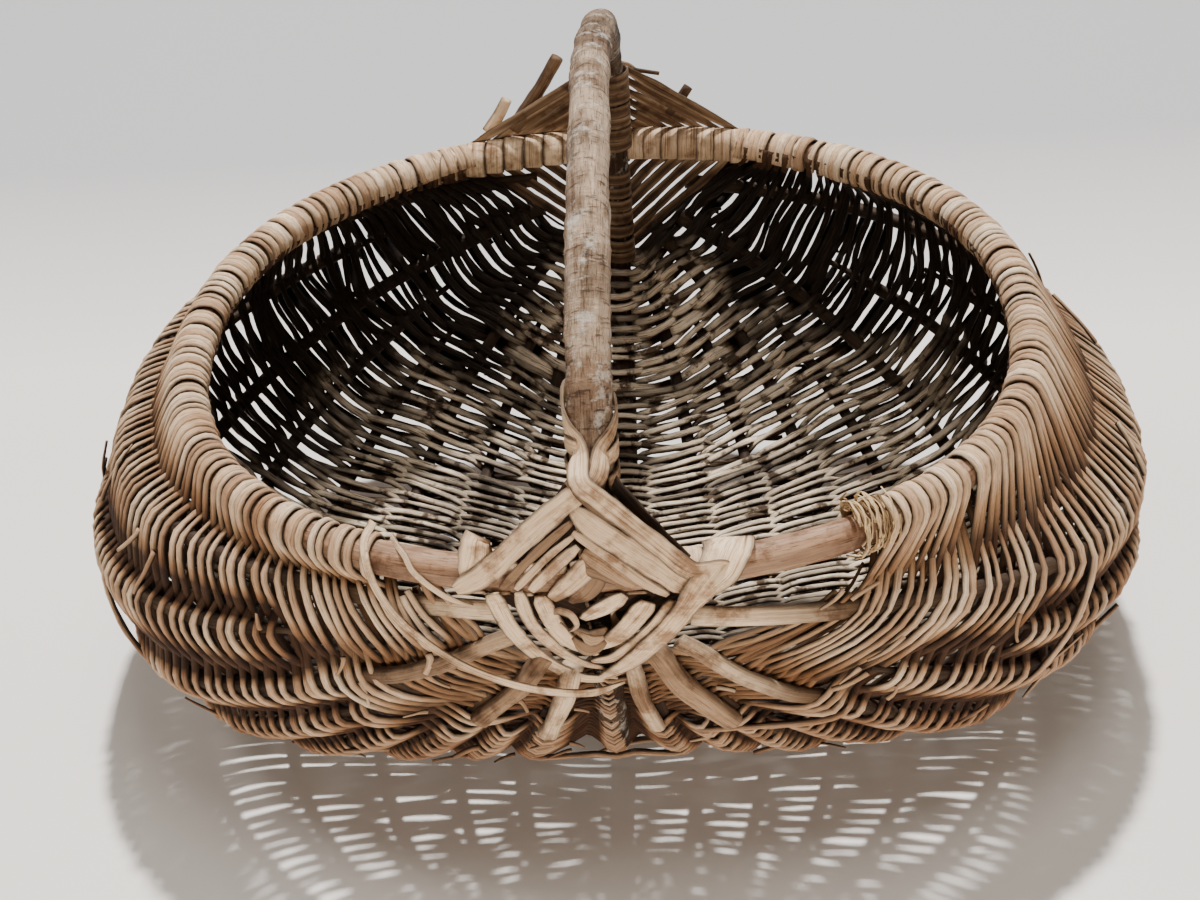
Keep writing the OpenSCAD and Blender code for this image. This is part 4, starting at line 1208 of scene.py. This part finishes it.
# ------------------------------------------------------------------ stage
def plane(name, co, mat):
    me = bpy.data.meshes.new(name)
    me.from_pydata(co, [], [tuple(range(len(co)))])
    ob = bpy.data.objects.new(name, me)
    bpy.context.scene.collection.objects.link(ob)
    me.materials.append(mat)
    return ob


fm, fnt, fbs = mat_new("floor")
fbs.inputs["Roughness"].default_value = 0.45
fv = nd(fnt, "ShaderNodeTexCoord").outputs["Object"]
fy = nd(fnt, "ShaderNodeSeparateXYZ", ins={0: fv}).outputs[1]
fnt.links.new(mixc(fnt, maprange(fnt, fy, 0.30, 0.62), ramp(fnt, noise(fnt, fv, 3.0, 3.0, 0.5), [(0.3, (0.82, 0.785, 0.745)), (0.7, (0.86, 0.825, 0.785))]),
                   (0.46, 0.462, 0.478)), fbs.inputs["Base Color"])
me = bpy.data.meshes.new("floor")
S = 6.0
prof = [(-S, 0.0), (1.1, 0.0), (1.35, 0.03), (1.5, 0.12), (1.56, 0.3), (1.56, 3.0)]
vs = [(x, y, z) for (y, z) in prof for x in (-S, S)]
fs = [(2 * i, 2 * i + 1, 2 * i + 3, 2 * i + 2) for i in range(len(prof) - 1)]
me.from_pydata(vs, [], fs)
me.polygons.foreach_set("use_smooth", [True] * len(fs))
floor = bpy.data.objects.new("floor", me)
bpy.context.scene.collection.objects.link(floor)
me.materials.append(fm)


def area(name, loc, target, size, power, color=(1, 1, 1)):
    li = bpy.data.lights.new(name, "AREA")
    li.shape = "RECTANGLE"
    li.size, li.size_y = size
    li.energy = power
    li.color = color
    ob = bpy.data.objects.new(name, li)
    bpy.context.scene.collection.objects.link(ob)
    ob.location = loc
    d = Vector(target) - Vector(loc)
    ob.rotation_euler = d.to_track_quat("-Z", "Y").to_euler()
    return ob


area("key", (0.02, 1.70, 4.50), (0, 0, 0.1), (0.26, 0.26), 420, (1.0, 0.98, 0.95))
area("side", (-1.4, 0.1, 2.0), (0, 0, 0.1), (0.4, 0.4), 8, (1.0, 0.98, 0.95))
area("top", (0.2, -0.35, 2.4), (0, 0, 0.1), (0.9, 0.9), 18, (1.0, 0.97, 0.92))
area("fill", (0.2, -2.2, 0.30), (0, 0, 0.12), (1.4, 0.45), 34, (1.0, 0.88, 0.75))
wd = bpy.context.scene.world or bpy.data.worlds.new("world")
bpy.context.scene.world = wd
wd.use_nodes = True
bg = wd.node_tree.nodes.get("Background") or wd.node_tree.nodes.new("ShaderNodeBackground")
bg.inputs[0].default_value = (0.90, 0.79, 0.68, 1)
bg.inputs[1].default_value = 0.10

# ------------------------------------------------------------------ camera
pitch, yaw, roll = math.radians(34.5093), math.radians(-3.639), math.radians(4.1327)
fwd0 = Vector((math.sin(yaw), math.cos(yaw), 0))
right0 = Vector((math.cos(yaw), -math.sin(yaw), 0))
fwd = fwd0 * math.cos(pitch) + Vector((0, 0, -1)) * math.sin(pitch)
down = fwd.cross(right0)
rgt = right0 * math.cos(roll) + down * math.sin(roll)
dwn = -right0 * math.sin(roll) + down * math.cos(roll)
cam_d = bpy.data.cameras.new("camera")
cam_d.sensor_fit = "HORIZONTAL"
cam_d.sensor_width = 36
cam_d.lens = 2018.38 / 1200 * 36
cam_d.clip_start = 0.05
cam = bpy.data.objects.new("camera", cam_d)
bpy.context.scene.collection.objects.link(cam)
M = Matrix.Identity(4)
for r in range(3):
    M[r][0], M[r][1], M[r][2] = rgt[r], -dwn[r], -fwd[r]
M[0][3], M[1][3], M[2][3] = 0.049621, -0.911704, 0.747766
cam.matrix_world = M
bpy.context.scene.camera = cam
